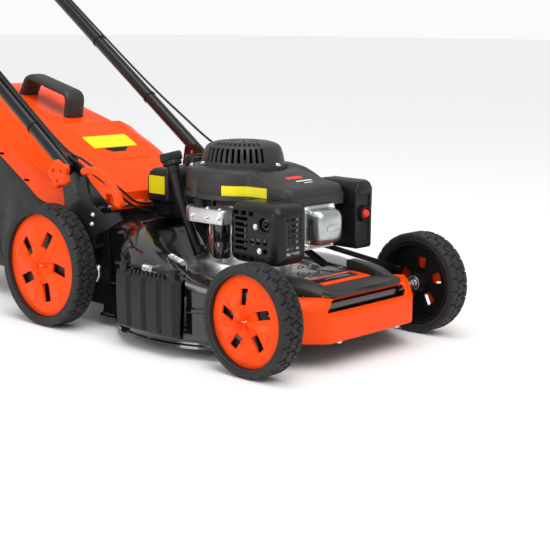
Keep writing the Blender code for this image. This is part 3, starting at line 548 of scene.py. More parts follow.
def cap_height(radius, angle, disc, base):
    """The cap's face: a shallow dome with five folded ridges that run out between the windows."""
    share = radius / disc
    height = 0.0035 * (1 - share ** 2) - 0.0012 * smooth((share - 0.93) / 0.07)
    for k in range(5):
        away = (angle - (base + math.radians(50 + 72 * k - 20 * share)) + math.pi) % (2 * math.pi) - math.pi
        reach = max(0.0, 1 - abs(away) / math.radians(33 - 15 * share))
        height += 0.0125 * reach * min(1.0, share / 0.12) * max(0.0, 1 - (share / 0.94) ** 2)
    return height


def make_cap(place, side, centre, disc, width, turn, body):
    """The orange wheel cap with its five raked windows."""
    base = math.radians(turn)
    place_at = Matrix.Translation(centre) @ frame_along((side, 0, 0))
    level = width / 2 - 0.0105
    rows = []
    for share in (0.0, 0.08, 0.16, 0.24, 0.32, 0.42, 0.52, 0.62, 0.72, 0.8, 0.86, 0.92, 0.96, 0.985, 1.0):
        row = []
        for i in range(180):
            a = 2 * math.pi * i / 180
            r = disc * share
            row.append(Vector((r * math.cos(a), r * math.sin(a), level + cap_height(r, a, disc, base))))
        rows.append(row)
    for share, drop in ((1.0, 0.0065), (0.965, 0.0065), (0.955, 0.002), (0.0, 0.002)):
        rows.append([Vector((v.x * share, v.y * share, level - drop)) for v in rows[14]])
    cap = grid("wheel_cap_" + place, rows, closed=True, sharp=16.0)
    windows = []
    for k in range(5):
        v = base + math.radians(72 * k)
        corners = []
        for share, degrees in ((0.725, -9), (0.715, 7), (0.38, 21), (0.355, -9)):
            a = v + math.radians(degrees)
            corners.append((disc * share * math.cos(a), disc * share * math.sin(a)))
        windows.append(prism(f"window_{k}", softened(corners, 0.0016, 2), "z", level - 0.02, level + 0.03))
    settle(cap, *windows, bevel=0.0006, segments=1, sharp=16.0)
    cap.matrix_world = place_at
    dress(cap, ORANGE, body, "rim_" + place)


def make_core(place, side, centre, disc, width, body):
    """The black wheel behind the cap: hub, ribbed web and bead seat, with its bearing."""
    half = width / 2
    web = half - 0.02
    profile = [
        (0.0066, half - 0.01), (0.016, half - 0.01), (0.018, web + 0.002), (disc - 0.012, web + 0.002),
        (disc - 0.006, half - 0.013), (disc - 0.001, half - 0.013), (disc - 0.001, 0.002 - half),
        (disc - 0.006, 0.002 - half), (disc - 0.01, web - 0.003), (0.022, web - 0.003),
        (0.018, 0.003 - half), (0.0066, 0.003 - half),
    ]
    outward = Vector((side, 0, 0))
    core = turned("wheel_core_" + place, profile, centre, outward, 72, closed=True)
    holes = []
    for k in range(5):
        corners = []
        for share, degrees in ((0.62, -13), (0.62, 13), (0.34, 17), (0.34, -17)):
            a = math.radians(72 * k + 20 + degrees)
            corners.append((disc * share * math.cos(a), disc * share * math.sin(a)))
        hole = prism(f"cell_{k}", softened(corners, 0.004, 3), "z", -0.03, 0.03)
        hole.data.transform(Matrix.Translation(centre) @ frame_along(outward))
        holes.append(hole)
    settle(core, *holes, bevel=0.0007, segments=1)
    dress(core, SATIN, body)
    ring = [
        (0.0066, 0.0026 - half), (0.0085, 0.002 - half), (0.0135, 0.002 - half), (0.015, 0.003 - half),
        (0.015, 0.006 - half), (0.0066, 0.006 - half),
    ]
    bearing = turned("wheel_bearing_" + place, ring, centre, outward, 40, closed=True)
    dress(bearing, ZINC, body)


def make_wheels():
    """The four wheels, each sized from its CAD tyre and rim."""
    for place, turn in (("front_right", 22), ("front_left", 40), ("rear_right", -4), ("rear_left", 10)):
        low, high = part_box("tyre_" + place)
        centre, radius, width = (low + high) / 2, (high.z - low.z) / 2, high.x - low.x
        disc = (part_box("rim_" + place)[1].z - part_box("rim_" + place)[0].z) / 2
        side = math.copysign(1, centre.x)
        body = "wheel_" + place
        make_tyre(place, side, centre, radius, disc, width, body)
        make_cap(place, side, centre, disc - 0.0006, width, turn, body)
        make_core(place, side, centre, disc, width, body)


# ---------------------------------------------------------------- deck
def deck_reach(dx, dy):
    """How far the deck's wall is from the spindle: a circle with a chamfered nose and a tail."""
    across = max(abs(dx), 1e-6)
    if dy < 0:
        return max(0.25, min(0.2 / across, 0.307 / -dy, 0.415 / (abs(dx) - dy)))
    return max(0.25, min(0.1715 / across, 0.245 / max(dy, 1e-6)))


def tunnel_rise(dx, dy):
    """The spiral tunnel's height over the deck: it climbs down the chute side to the rear."""
    turn = math.degrees(math.atan2(-dx, -dy))
    if turn >= 0:
        return 0.094 * smooth((turn - 35) / 110)
    return 0.094 * smooth((-150 - turn) / 30) + 0.012 * smooth((-30 - turn) / 60) * smooth((turn + 180) / 40)


def make_deck():
    """The pressed deck: flat middle, spiral tunnel, stepped wall and turned-out rim."""
    rim = 0.02
    shares = (
        (0.1, 0.0), (0.3, 0.0), (0.44, 0.0), (0.5, 0.02), (0.54, 0.1), (0.58, 0.24), (0.62, 0.45),
        (0.66, 0.7), (0.7, 0.88), (0.74, 0.97), (0.79, 1.0), (0.84, 0.985), (0.89, 0.94), (0.93, 0.865),
        (0.962, 0.765),
    )
    rows = [[] for _ in range(len(shares) + 12)]
    for dx, dy in circle(150, 0.5):
        wall, rise = deck_reach(dx, dy), tunnel_rise(dx, dy)
        path = [(wall * share, DECK_TOP + rise * lift) for share, lift in shares]
        edge = DECK_TOP - 0.006 + rise * 0.62
        path += [(wall * 0.985, edge + 0.0028 + rise * 0.04), (wall - 0.0008, edge), (wall, edge - 0.006)]
        for z, out in ((0.097, 0.0), (0.094, 0.0022), (0.089, 0.0022), (0.086, 0.0)):
            path.append((wall + out, min(z, edge - 0.01)))
        low = rim + 0.035 * smooth((-dy * wall - 0.2) / 0.06)
        path += [
            (wall, low + 0.026), (wall, low + 0.014), (wall + 0.002, low + 0.008),
            (wall + 0.0068, low + 0.0055),
        ]
        path.append((wall + 0.0085, low + 0.001))
        for row, (reach, z) in zip(rows, path):
            row.append(Vector((SPINDLE.x + dx * reach, SPINDLE.y + dy * reach, z)))
    deck = grid("pressed_deck", rows, closed=True, thickness=0.0026)
    outlet = box("outlet", at(-0.13, 0.44, 0.062), at(0.13, 0.56, 0.186))
    side = box("side", at(-0.3, 0.175, 0.052), at(-0.19, 0.33, 0.132))
    axle = round_bar("axle", 0.0078, -0.23, 0.23, at(0, 0.04, 0.081), X_AXIS)
    settle(deck, outlet, side, axle, sharp=30.0)
    dress(deck, GLOSS, "root", "deck_shell")
    seats = ((0.12, 0.05), (-0.12, 0.03), (0.15, 0.13))
    spots = [(at(x, y, DECK_TOP + SEAT_GAP / 2), UP, 0.0048) for x, y in seats]
    bolts("deck_bolts", spots, "root")


def make_deck_wires():
    """The bent wire clip on the nose of the deck and the pull-back spring beside the engine."""
    clip = [
        (0.095, 0.164), (0.08, 0.156), (0.069, 0.168), (0.079, 0.18), (0.093, 0.17), (0.102, 0.156),
        (0.115, 0.156), (0.118, 0.17), (0.108, 0.178),
    ]
    path = curved([at(x, y, 0.1265 + 0.004 * (k % 3)) for k, (x, y) in enumerate(clip)], 90)
    dress(tube("nose_clip", path, 0.0016, 10), ZINC, "root")
    start, end, turns = at(-0.208, 0.212, 0.17), at(-0.196, 0.26, 0.176), 11
    along = (end - start).normalized()
    side = along.cross(Vector(UP)).normalized()
    over = side.cross(along)
    path = [start - along * 0.012 - over * 0.01, start - along * 0.01, start]
    for k in range(turns * 12 + 1):
        a = 2 * math.pi * k / 12
        path.append(start.lerp(end, k / (turns * 12)) + (side * math.cos(a) + over * math.sin(a)) * 0.0052)
    path += [end, end + along * 0.01, end + along * 0.012 - over * 0.012]
    dress(tube("deck_spring", path, 0.0011, 8), ZINC, "root")


def make_side_plates():
    """The painted plates that carry the handle, with their screws."""
    for side, x in (("right", -0.1735), ("left", 0.1735)):
        keep_node("side_plate_" + side, PAINTED, 0.0008)
        outward = (math.copysign(1, x), 0, 0)
        spots = []
        for y, z in ((0.5, 0.12), (0.505, 0.225), (0.555, 0.165)):
            spots.append((at(x + math.copysign(0.0016, x), y, z), outward, 0.0042))
        bolts("plate_bolts_" + side, spots, "root")


# ---------------------------------------------------------------- front
def make_bumper():
    """The orange nose bumper: a bent wall with a turned-in lip and a grab opening."""
    low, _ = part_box("front_bumper")
    nose = low.y
    face = 0.101
    corner = [(0.176, 0.0565, 0.123), (0.156, 0.0345, 0.115), (0.122, 0.001, face), (0.0, 0.0, face)]
    plan = [(-x, y, z) for x, y, z in corner] + [(x, y, z) for x, y, z in reversed(corner[:-1])]
    dense = densified(rounded(plan, 0.022, 5, closed=False), 0.02)
    rows = []
    for spot, along in zip(dense, headings(dense)):
        inward = Vector((-along.y, along.x, 0.0)).normalized()
        lip = spot.z
        lean = (0.1275 - lip) / (0.1275 - face)
        section = [
            (0.016, low.z + 0.0002), (0.0045, low.z + 0.0006), (0.0012, low.z + 0.002),
            (0.0, low.z + 0.006), (0.0, lip - 0.0035), (0.0008, lip - 0.0012), (0.0028, lip),
            (0.006 * lean + 0.002, lip + 0.0008 * lean), (0.0075 * lean + 0.002, lip + 0.0028 * lean),
            (0.0135 * lean + 0.002, 0.1252), (0.015 * lean + 0.003, 0.1272), (0.019 * lean + 0.004, 0.1282),
            (0.034, 0.1284),
        ]
        rows.append(
            [Vector((spot.x, nose + spot.y, 0)) + inward * inset + Vector((0, 0, z)) for inset, z in section]
        )
    bumper = grid("bumper", rows, thickness=0.0032)
    opening = [(-0.121, 0.1032), (0.108, 0.1032), (0.112, 0.112), (0.105, 0.1246), (-0.101, 0.1246)]
    slot = prism("slot", softened(opening, 0.003, 3), "y", nose - 0.02, nose + 0.03)
    settle(bumper, slot, bevel=0.0006, segments=2, angle=40.0)
    dress(bumper, ORANGE, "root", "front_bumper")
    below = [(Vector((x, nose + 0.012, low.z + 0.0002)), DOWN, 0.0045) for x in (-0.085, 0.085)]
    bolts("bumper_bolts", below, "root")


def layered(name, outline, levels, bevel=0.0):
    """A plate whose outline shrinks as it rises: (inset, height) for each level."""
    rows = []
    count = len(outline)
    spots = [Vector((x, y, 0)) for x, y in outline]
    for inset, z in levels:
        row = []
        for i, spot in enumerate(spots):
            before = (spot - spots[i - 1]).normalized()
            after = (spots[(i + 1) % count] - spot).normalized()
            inward = (Vector((-before.y, before.x, 0)) + Vector((-after.y, after.x, 0)))
            inward = inward / max(0.3, inward.length_squared / 2)
            row.append(spot + inward * inset + Vector((0, 0, z)))
        rows.append(row)
    made = grid(name, rows, closed=True, caps=(0, -1))
    if bevel:
        settle(made, bevel=bevel)
    return made


def make_front_cover():
    """The dark cover over the nose: a low band with two raised arms, round an orange inlay."""
    low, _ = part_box("front_cover")
    bottom, band = low.z, low.z + 0.0092
    half = [(0.0, -0.066), (0.09, -0.066), (0.101, -0.059), (0.109, -0.044), (0.09, -0.0085), (0.0, -0.0085)]
    outline = [(x, back(y)) for x, y in half] + [(-x, back(y)) for x, y in reversed(half[1:-1])]
    cover = layered(
        "nose_cover", softened(outline, 0.004, 3), [(0.0, bottom), (0.0, band - 0.0014), (0.0016, band)],
    )
    arms = []
    for side in (-1, 1):
        rows = []
        for y, inner, outer, top in (
            (-0.056, 0.087, 0.106, 0.1375), (-0.044, 0.085, 0.112, 0.14), (-0.025, 0.085, 0.119, 0.1455),
            (-0.005, 0.087, 0.127, 0.15), (0.015, 0.09, 0.13, 0.1525), (0.038, 0.0945, 0.133, 0.154),
            (0.06, 0.101, 0.138, 0.1545), (0.076, 0.108, 0.141, 0.1545), (0.085, 0.114, 0.136, 0.152),
        ):
            section = [
                (outer, bottom + 0.0004), (outer, top - 0.0085), (outer - 0.0015, top - 0.0062),
                (outer - 0.011, top - 0.0006), (outer - 0.0125, top), (inner + 0.0014, top),
                (inner, top - 0.0016), (inner, bottom + 0.0004),
            ]
            rows.append([Vector((side * x, back(y), z)) for x, z in section])
        arms.append(grid(f"arm_{side}", rows, closed=True, caps=(0, -1)))
    settle(cover, union=arms, bevel=0.0007, segments=2, angle=40.0)
    dress(cover, GREY, "root", "front_cover")
    plate = [
        (-0.074, -0.008), (0.074, -0.008), (0.084, 0.038), (0.078, 0.049), (-0.078, 0.049), (-0.084, 0.038),
    ]
    plate = [(x, back(y)) for x, y in plate]
    inlay = layered("orange_inlay", plate, [(0.0, bottom), (0.0, 0.1388), (0.0012, 0.14)])
    dress(inlay, ORANGE, "root", "front_inlay")
    for name, finish, panel, top in (
        ("inlay_panel", SATIN, [(-0.058, 0.008), (0.058, 0.008), (0.066, 0.036), (-0.066, 0.036)], 0.1408),
        ("inlay_strip", ZINC, [(-0.03, 0.018), (0.046, 0.018), (0.047, 0.0225), (-0.03, 0.0225)], 0.1412),
    ):
        outline = [(x, back(y)) for x, y in panel]
        dress(layered(name, outline, [(0.0, 0.1395), (0.0, top - 0.0003), (0.0004, top)]), finish, "root")


def make_side_cover():
    """The ribbed cover of the side outlet, its rod and its spring."""
    low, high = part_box("side_cover")
    start, end = low.y, high.y
    profile = [
        (0.016, 0.1515), (0.0075, 0.15), (0.002, 0.146), (0.0004, 0.14), (0.0, 0.1), (0.0012, 0.052),
        (0.0022, 0.045), (0.006, 0.041), (0.01, 0.0402),
    ]
    inside = [(0.015, 0.044), (0.012, 0.048), (0.011, 0.09), (0.011, 0.142), (0.016, 0.1478)]
    rows = []
    count = 176
    for i in range(count + 1):
        t = i / count
        y = start + (end - start) * t
        rib = 0.0
        for k in range(4):
            away = t - (0.15 + 0.235 * k)
            rib = max(rib, smooth((0.094 - away) / 0.012) * smooth((away + 0.094) / 0.03))
        tuck = 0.006 * (1 - smooth(min(t, 1 - t) / 0.035))
        row = []
        for inset, z in profile:
            inner = 0.0058 * (1 - rib) if 0.045 < z < 0.1465 else 0.0
            row.append(Vector((low.x + inset + tuck + inner, y, z)))
        row += [Vector((low.x + inset, y, z)) for inset, z in inside]
        rows.append(row)
    cover = grid("ribbed_cover", rows, closed=True, caps=(0, -1), sharp=32.0)
    hinge_x, hinge_z = -0.2545, 0.16
    bits = []
    for k, y in enumerate((start + 0.022, end - 0.022)):
        ear = [(y - 0.01, 0.144), (y + 0.01, 0.144), (y + 0.008, 0.1675), (y - 0.008, 0.1675)]
        bits.append(prism(f"ear_{k}", ear, "x", hinge_x - 0.008, hinge_x + 0.007, 0.0025))
    for k in range(9):
        y = start + 0.045 + 0.0112 * k
        bits.append(box(f"tooth_{k}", (-0.264, y - 0.003, 0.144), (-0.256, y + 0.003, 0.156), 0.0008, 1))
    centre = (start + end) / 2
    bore = round_bar("bore", 0.0038, -0.15, 0.15, (hinge_x, centre, hinge_z), Y_AXIS, 20)
    settle(cover, bore, union=bits, sharp=32.0)
    dress(cover, SATIN, "side_cover", "side_cover")
    keep_node("side_hinge_rod", SATIN)
    coil, steps = 0.0064, 7 * 14
    path = [(0.02, -0.02, -0.002), (0.012, -0.017, 0.007)]
    for i in range(steps + 1):
        a = math.pi / 2 - 2 * math.pi * i / 14
        path.append((coil * math.cos(a), -0.014 + 0.028 * i / steps, coil * math.sin(a)))
    path += [(0.012, 0.017, 0.007), (0.022, 0.022, -0.001)]
    spring = tube("cover_spring", [Vector((hinge_x, centre, hinge_z)) + Vector(p) for p in path], 0.001, 8)
    dress(spring, ZINC, "root", "side_hinge_spring")


# ---------------------------------------------------------------- running gear
def make_running_gear():
    """The parts whose CAD shape is kept, with their screws and rivets."""
    for node, finish, bevel in (
        ("front_axle", ZINC, 0.0), ("rear_crank", ZINC, 0.0008), ("gearbox", CAST, 0.0012),
        ("height_link", GLOSS, 0.0005), ("input_pulley", ZINC, 0.0005), ("crankshaft", ZINC, 0.0006),
        ("blade", GLOSS, 0.0006), ("flap_hinge_rod", ZINC, 0.0), ("rear_ramp", SATIN, 0.0008),
        ("flywheel", CAST, 0.0008), ("cylinder_head", CAST, 0.0008), ("spark_plug", SATIN, 0.001),
        ("muffler", GLOSS, 0.001), ("carburettor", CAST, 0.0015),
    ):
        keep_node(node, finish, bevel)
    make_belt()
    bolts("blade_bolt", [(Vector((0, SPINDLE.y, 0.034)), DOWN, 0.0085)], "crankshaft")
    case_low, case_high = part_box("gearbox")
    top = case_low.z + 0.055
    ends = (case_low.y + 0.012, case_high.y - 0.012)
    spots = [(Vector((x, y, top)), UP, 0.004) for x in (-0.033, 0.033) for y in ends]
    bolts("gearbox_bolts", spots, "rear_axle")
    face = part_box("height_link")[1].x
    spots = [(at(face, y, z), X_AXIS, 0.0036) for y, z in ((0.032, 0.1325), (0.575, 0.198))]
    bolts("link_rivets", spots, "height_link")


def make_belt():
    """The V belt between the crankshaft and the gearbox pulley."""
    pulley_y, pulley_z, run = back(0.56), 0.082, 0.0305
    path = []
    for i in range(25):
        a = math.pi * i / 24
        path.append(Vector((run * math.cos(a), pulley_y + run * math.sin(a), pulley_z)))
    for k in range(1, 12):
        path.append(path[24].lerp(Vector((-run, SPINDLE.y, BELT_Z)), k / 12))
    for i in range(25):
        a = math.pi + math.pi * i / 24
        path.append(Vector((run * math.cos(a), SPINDLE.y + run * math.sin(a), BELT_Z)))
    for k in range(1, 12):
        path.append(Vector((run, SPINDLE.y, BELT_Z)).lerp(path[0], k / 12))
    belt = tube("v_belt", path, 0.0034, 8, closed=True)
    belt.data.materials.append(RUBBER)
    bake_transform(belt)
    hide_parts("drive_belt")


# ---------------------------------------------------------------- engine
def make_crankcase():
    """The cast crankcase with its ribs, and the finned barrel in front."""
    base = DECK_TOP + SEAT_GAP
    profile = [
        (0.013, 0.268), (0.048, 0.268), (0.052, 0.266), (0.0575, 0.26), (0.0605, 0.21), (0.064, 0.201),
        (0.072, 0.193), (0.079, 0.164), (0.083, 0.157), (0.0925, 0.1525), (0.095, 0.149), (0.0958, base),
        (0.013, base),
    ]
    case = turned("crankcase", profile, (0, SPINDLE.y, 0), UP, 72, closed=True)
    parts = []
    for k in range(10):
        rib = box(f"rib_{k}", (0.05, -0.002, 0.15), (0.074, 0.002, 0.246), 0.0008, 1)
        parts.append(spun(rib, (0, SPINDLE.y, 0), 36 * k + 8))
    parts.append(box("barrel", at(-0.038, 0.125, 0.196), at(0.038, 0.215, 0.264), 0.006))
    for k in range(6):
        y = 0.1275 + 0.0105 * k
        parts.append(box(f"fin_{k}", at(-0.044, y, 0.1925), at(0.044, y + 0.0026, 0.2678), 0.0008, 1))
    settle(case, union=parts)
    dress(case, CAST, "root", "engine_block")
    bolts("base_bolts", ring_of_bolts(0.0845, [72 * k + 196 for k in range(5)], 0.1555, 0.0046), "root")


def ring_of_bolts(reach, degrees, z, radius):
    """Places of upright bolts round the crankshaft."""
    turns = [math.radians(turn) for turn in degrees]
    return [(Vector((reach * math.cos(a), SPINDLE.y + reach * math.sin(a), z)), UP, radius) for a in turns]


def make_valve_cover():
    """The pressed valve cover: a flange, a dome and a plain oval on it."""
    low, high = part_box("valve_cover")
    wide, tall = (low.x + high.x) / 2, (low.z + high.z) / 2
    flange = box("cover_flange", (low.x, back(0.0565), low.z), high)
    rows = []
    for inset, y in (
        (0.006, 0.0575), (0.0065, 0.044), (0.0085, 0.033), (0.0125, 0.0262), (0.0185, 0.023),
        (0.024, 0.0222),
    ):
        x, z = (high.x - low.x) / 2 - inset, (high.z - low.z) / 2 - inset
        ring = softened([(-x, -z), (x, -z), (x, z), (-x, z)], 0.016, 6)
        rows.append([Vector((wide + x, back(y), tall + z)) for x, z in ring])
    dress(grid("valve_dome", rows, closed=True, caps=(0, -1), sharp=50.0), PRESSED, "root")
    oval = [(-0.017, -0.007), (0.017, -0.007), (0.017, 0.007), (-0.017, 0.007)]
    oval = [(wide + x, tall + z) for x, z in softened(oval, 0.0068, 5)]
    dress(prism("valve_pressing", oval, "y", back(0.0212), back(0.024), 0.0008, 2), PRESSED, "root")
    settle(flange, bevel=0.0012, segments=2, angle=40.0)
    dress(flange, PRESSED, "root", "valve_cover")
    spots = []
    for x in (low.x + 0.006, high.x - 0.006):
        for z in (low.z + 0.0065, high.z - 0.0065):
            spots.append((Vector((x, back(0.0566), z)), (0, -1, 0), 0.0044))
    bolts("valve_bolts", spots, "root")


def make_guard():
    """The slotted black guard over the muffler: a soft box with a window pattern and the outlet."""
    low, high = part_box("muffler_guard")
    guard = box("slotted_guard", low, high, 0.02, 7)
    wall = 0.0026
    inside = box("inside", low + Vector((wall, wall, wall)), high + Vector((0.03, -wall, -wall)), 0.0175, 6)
    cuts = [inside]
    for count, y, wide, first, pitch, tall, corner in (
        (6, high.y - 0.052, 0.032, 0.0255, 0.0108, 0.0062, 0.0024),
        (5, high.y - 0.0165, 0.0055, 0.02, 0.015, 0.012, 0.0022),
    ):
        for k in range(count):
            z = low.z + first + pitch * k
            cuts.append(box("slit", (low.x - 0.01, y, z), (low.x + 0.01, y + wide, z + tall), corner, 3))
    for y, z, wide, tall in (
        (0.109, 0.269, 0.015, 0.008), (0.09, 0.269, 0.014, 0.008), (0.072, 0.269, 0.013, 0.008),
        (0.109, 0.188, 0.015, 0.0075), (0.09, 0.188, 0.014, 0.007), (0.072, 0.188, 0.013, 0.007),
        (0.07, 0.216, 0.011, 0.013), (0.054, 0.219, 0.012, 0.011), (0.038, 0.219, 0.011, 0.011),
        (0.038, 0.201, 0.011, 0.011), (0.054, 0.188, 0.012, 0.007), (0.038, 0.188, 0.011, 0.007),
    ):
        cuts.append(
            box("pane", (low.x - 0.01, back(y), z), (low.x + 0.01, back(y) + wide, z + tall), 0.0026, 3)
        )
    for k in range(7):
        z = low.z + 0.02 + 0.0104 * k
        start, end = (low.x + 0.024, low.y - 0.01, z), (low.x + 0.062, low.y + 0.01, z + 0.0056)
        cuts.append(box("short", start, end, 0.0022, 2))
    outlet_at = (low.x, back(0.045), 0.256)
    cuts.append(round_bar("outlet", 0.012, -0.02, 0.02, outlet_at, X_AXIS, 32))
    settle(guard, *cuts, bevel=0.0005, segments=2)
    dress(guard, SATIN, "root", "muffler_guard")
    ring = [(0.0122, -0.0002), (0.0142, -0.0016), (0.015, -0.0006), (0.015, 0.0022), (0.0122, 0.0022)]
    dress(turned("outlet_rim", ring, outlet_at, X_AXIS, 36, closed=True), SATIN, "root")
    pipe = [(0.007, -0.005), (0.0092, -0.005), (0.0098, -0.004), (0.0098, -0.016), (0.007, -0.016)]
    dress(turned("outlet_pipe", pipe, outlet_at, (-1, 0, 0), 32, closed=True), GLOSS, "root")
    spots = [(Vector((low.x, back(y), z)), (-1, 0, 0), 0.0036) for y, z in ((0.066, 0.251), (0.056, 0.208))]
    bolts("guard_screws", spots, "root")


def housing_reach(dx, dy):
    """The blower housing in plan: round about the flywheel, with a snout over the cylinder."""
    if dy >= 0:
        return HOUSING_RADIUS
    left = 0.08 if dx < 0 else 0.086
    return max(HOUSING_RADIUS, min(left / max(abs(dx), 1e-6), 0.192 / -dy))


def make_housing():
    """The blower housing, with its blank label, its marks and its screws laid on."""
    sides = 144
    shape = (
        (0.0, 0.33), (0.3, 0.33), (0.5, 0.33), (0.6, 0.333), (0.655, 0.3372), (0.72, 0.3386), (0.8, 0.3384),
        (0.875, 0.3372), (0.935, 0.3348), (0.968, 0.3318), (0.985, 0.327), (0.993, 0.32), (0.998, 0.308),
        (1.0, 0.298),
    )
    rows = [[] for _ in range(len(shape) + 5)]
    for i in range(sides):
        a = 2 * math.pi * (i + 0.5) / sides
        dx, dy = math.cos(a), math.sin(a)
        span = sum(housing_reach(math.cos(a + t), math.sin(a + t)) for t in (-0.06, -0.03, 0, 0.03, 0.06)) / 5
        extra = smooth((span - HOUSING_RADIUS) / 0.065)
        path = []
        for share, z in shape:
            reach = min(span * share, HOUSING_RADIUS * share + (span - HOUSING_RADIUS) * share ** 2)
            path.append((reach, z - 0.024 * extra * smooth((share - 0.56) / 0.36)))
        path += [
            (span - 0.0002, 0.29), (span - 0.0012, 0.2885), (span - 0.0012, 0.2868), (span, 0.285),
            (span, 0.2782),
        ]
        for row, (reach, z) in zip(rows, path):
            row.append(Vector((dx * reach, SPINDLE.y + dy * reach, z)))
    housing = grid("blower_cowl", rows[1:], closed=True, thickness=0.0024, sharp=34.0)
    surface = BVHTree.FromPolygons(
        [v.co for v in housing.data.vertices], [p.vertices for p in housing.data.polygons],
    )
    dress(housing, GREY, "root", "blower_housing")
    spots = [(surface.ray_cast(at(x, 0.32, 0.5), DOWN)[0], UP, 0.0042) for x in (-0.082, 0.082)]
    bolts("cowl_bolts", spots, "root")
    facing = math.radians(224)
    out, aside = Vector((math.cos(facing), math.sin(facing), 0)), Vector(
        (math.sin(facing), -math.cos(facing), 0)
    )
    start = SPINDLE + out * 0.2
    left, right = start - aside * 0.0405, start + aside * 0.045
    corners = ((left, 0.288), (right, 0.288), (right, 0.307), (left, 0.307))
    corners = [Vector((p.x, p.y, z)) for p, z in corners]
    dress(sticker("cowl_label", surface, corners, -out), YELLOW, "root")
    bump_out = [(0.0, 0.034), (0.006, 0.0335), (0.0105, 0.03), (0.0125, 0.024), (0.0128, 0.0), (0.0, 0.0)]
    swell = at(-0.1075, 0.279, 0.281)
    dress(turned("cowl_swell", bump_out, swell, UP, 32), GREY, "root")
    for name, finish, left, right, front, rear in (
        ("cowl_mark", RED, -0.03, 0.012, 0.113, 0.121),
        ("cowl_mark_line", LIGHT_LINE, -0.018, 0.026, 0.101, 0.105),
        ("cowl_mark_foot", LIGHT_LINE, -0.004, 0.02, 0.093, 0.096),
    ):
        corners = [at(left, front, 0.5), at(right, front, 0.5), at(right, rear, 0.5), at(left, rear, 0.5)]
        dress(sticker(name, surface, corners, Vector(DOWN), 0.0004), finish, "root")


def sticker(name, surface, corners, cast, lift=0.0006, across=24, up=6):
    """A thin blank label laid on a surface: the patch between four corners is cast onto it."""
    rows = []
    for i in range(-1, across + 2):
        u = min(max(i / across, 0.0), 1.0)
        row = []
        for j in range(-1, up + 2):
            v = min(max(j / up, 0.0), 1.0)
            start = corners[0].lerp(corners[1], u).lerp(corners[3].lerp(corners[2], u), v)
            inside = 0 <= i <= across and 0 <= j <= up
            row.append(surface.ray_cast(start, cast)[0] - cast * (lift if inside else -0.0008))
        rows.append(row)
    return grid(name, rows)


def make_recoil():
    """The round starter cover, slotted on its wall, its shoulder and its top."""
    top = [
        (0.0, 0.3848), (0.018, 0.3849), (0.04, 0.3842), (0.054, 0.3826), (0.064, 0.3796), (0.0705, 0.3762),
        (0.0745, 0.3715), (0.0785, 0.36), (0.0812, 0.348), (0.0822, 0.343), (0.0865, 0.341), (0.087, 0.331),
    ]
    inner = [(0.079, 0.331), (0.078, 0.3455), (0.075, 0.358), (0.0712, 0.369), (0.067, 0.373), (0.0, 0.3806)]
    centre = Vector((-0.0025, SPINDLE.y + 0.0025, 0))
    cover = turned("recoil_dome", top + inner, centre, UP, 96)
    slots = []
    wall, shoulder = (
        (0.064, -0.0029, 0.3465), (0.092, 0.0029, 0.3735),
    ), ((0.052, -0.0023, 0.374), (0.0665, 0.0023, 0.39))
    for k in range(11):
        for ends in (wall, shoulder):
            slots.append(spun(box("slot", *ends, 0.0008, 1), centre, 166 + 8.6 * k))
    for k in range(8):
        slot = box("top_slot", (0.018, -0.002, 0.378), (0.04, 0.002, 0.392), 0.0008, 1)
        slots.append(spun(slot, centre, 45 * k))
    settle(cover, *slots, bevel=0.0004, segments=1)
    dress(cover, GREY, "root", "recoil_cover")
    bolts("recoil_bolts", ring_of_bolts(0.085, [120 * k + 272 for k in range(3)], 0.3405, 0.005), "root")


def make_intake():
    """The air filter box with its lid, and the primer bulb in its seat."""
    low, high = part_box("air_filter_box")
    plan = [
        (low.x, low.y), (high.x - 0.016, low.y), (high.x, low.y + 0.018), (high.x, high.y), (low.x, high.y),
    ]
    outline = softened(plan, 0.006, 4)
    body = layered("filter_body", outline, [(0.002, low.z), (0.0, low.z + 0.004), (0.0, 0.262)])
    lid = layered("filter_lid", outline, [
        (0.0025, 0.262), (-0.0004, 0.2632), (-0.0004, high.z - 0.014), (0.004, high.z - 0.004),
        (0.01, high.z),
    ])
    hole = round_bar("seat", 0.0142, -0.018, 0.018, at(0.114, 0.038, 0.249), Y_AXIS, 36)
    start, end = (low.x - 0.01, low.y - 0.01, low.z + 0.012), (high.x - 0.023, low.y + 0.0045, high.z - 0.024)
    recess = box("recess", start, end, 0.004, 2)
    parts = [lid]
    for name, bottom, top, inset, bevel in (
        ("pad", 0.27, 0.28, 0.03, 0.0015), ("foot", 0.2, 0.222, 0.027, 0.002),
    ):
        start, end = (low.x + 0.003, low.y + 0.001, bottom), (high.x - inset, low.y + 0.008, top)
        parts.append(box(name, start, end, bevel, 2))
    settle(body, hole, recess, union=parts, bevel=0.0012, segments=2, angle=40.0)
    dress(body, SATIN, "root", "air_filter_box")
    ring = [(0.0118, 0.0), (0.015, 0.0), (0.015, 0.0125), (0.014, 0.0135), (0.0118, 0.0125)]
    dress(turned("bulb_ring", ring, at(0.114, 0.05, 0.249), (0, -1, 0), 36, closed=True), SATIN, "root")
    bulb = [
        (0.0, 0.015), (0.003, 0.0147), (0.006, 0.0136), (0.0084, 0.0112), (0.0098, 0.008), (0.0104, 0.004),
        (0.011, 0.001), (0.011, 0.0), (0.0, 0.0),
    ]
    dress(
        turned("soft_bulb", bulb, at(0.114, 0.048, 0.249), (0, -1, 0), 32), RED, "primer_bulb",
        "primer_bulb",
    )


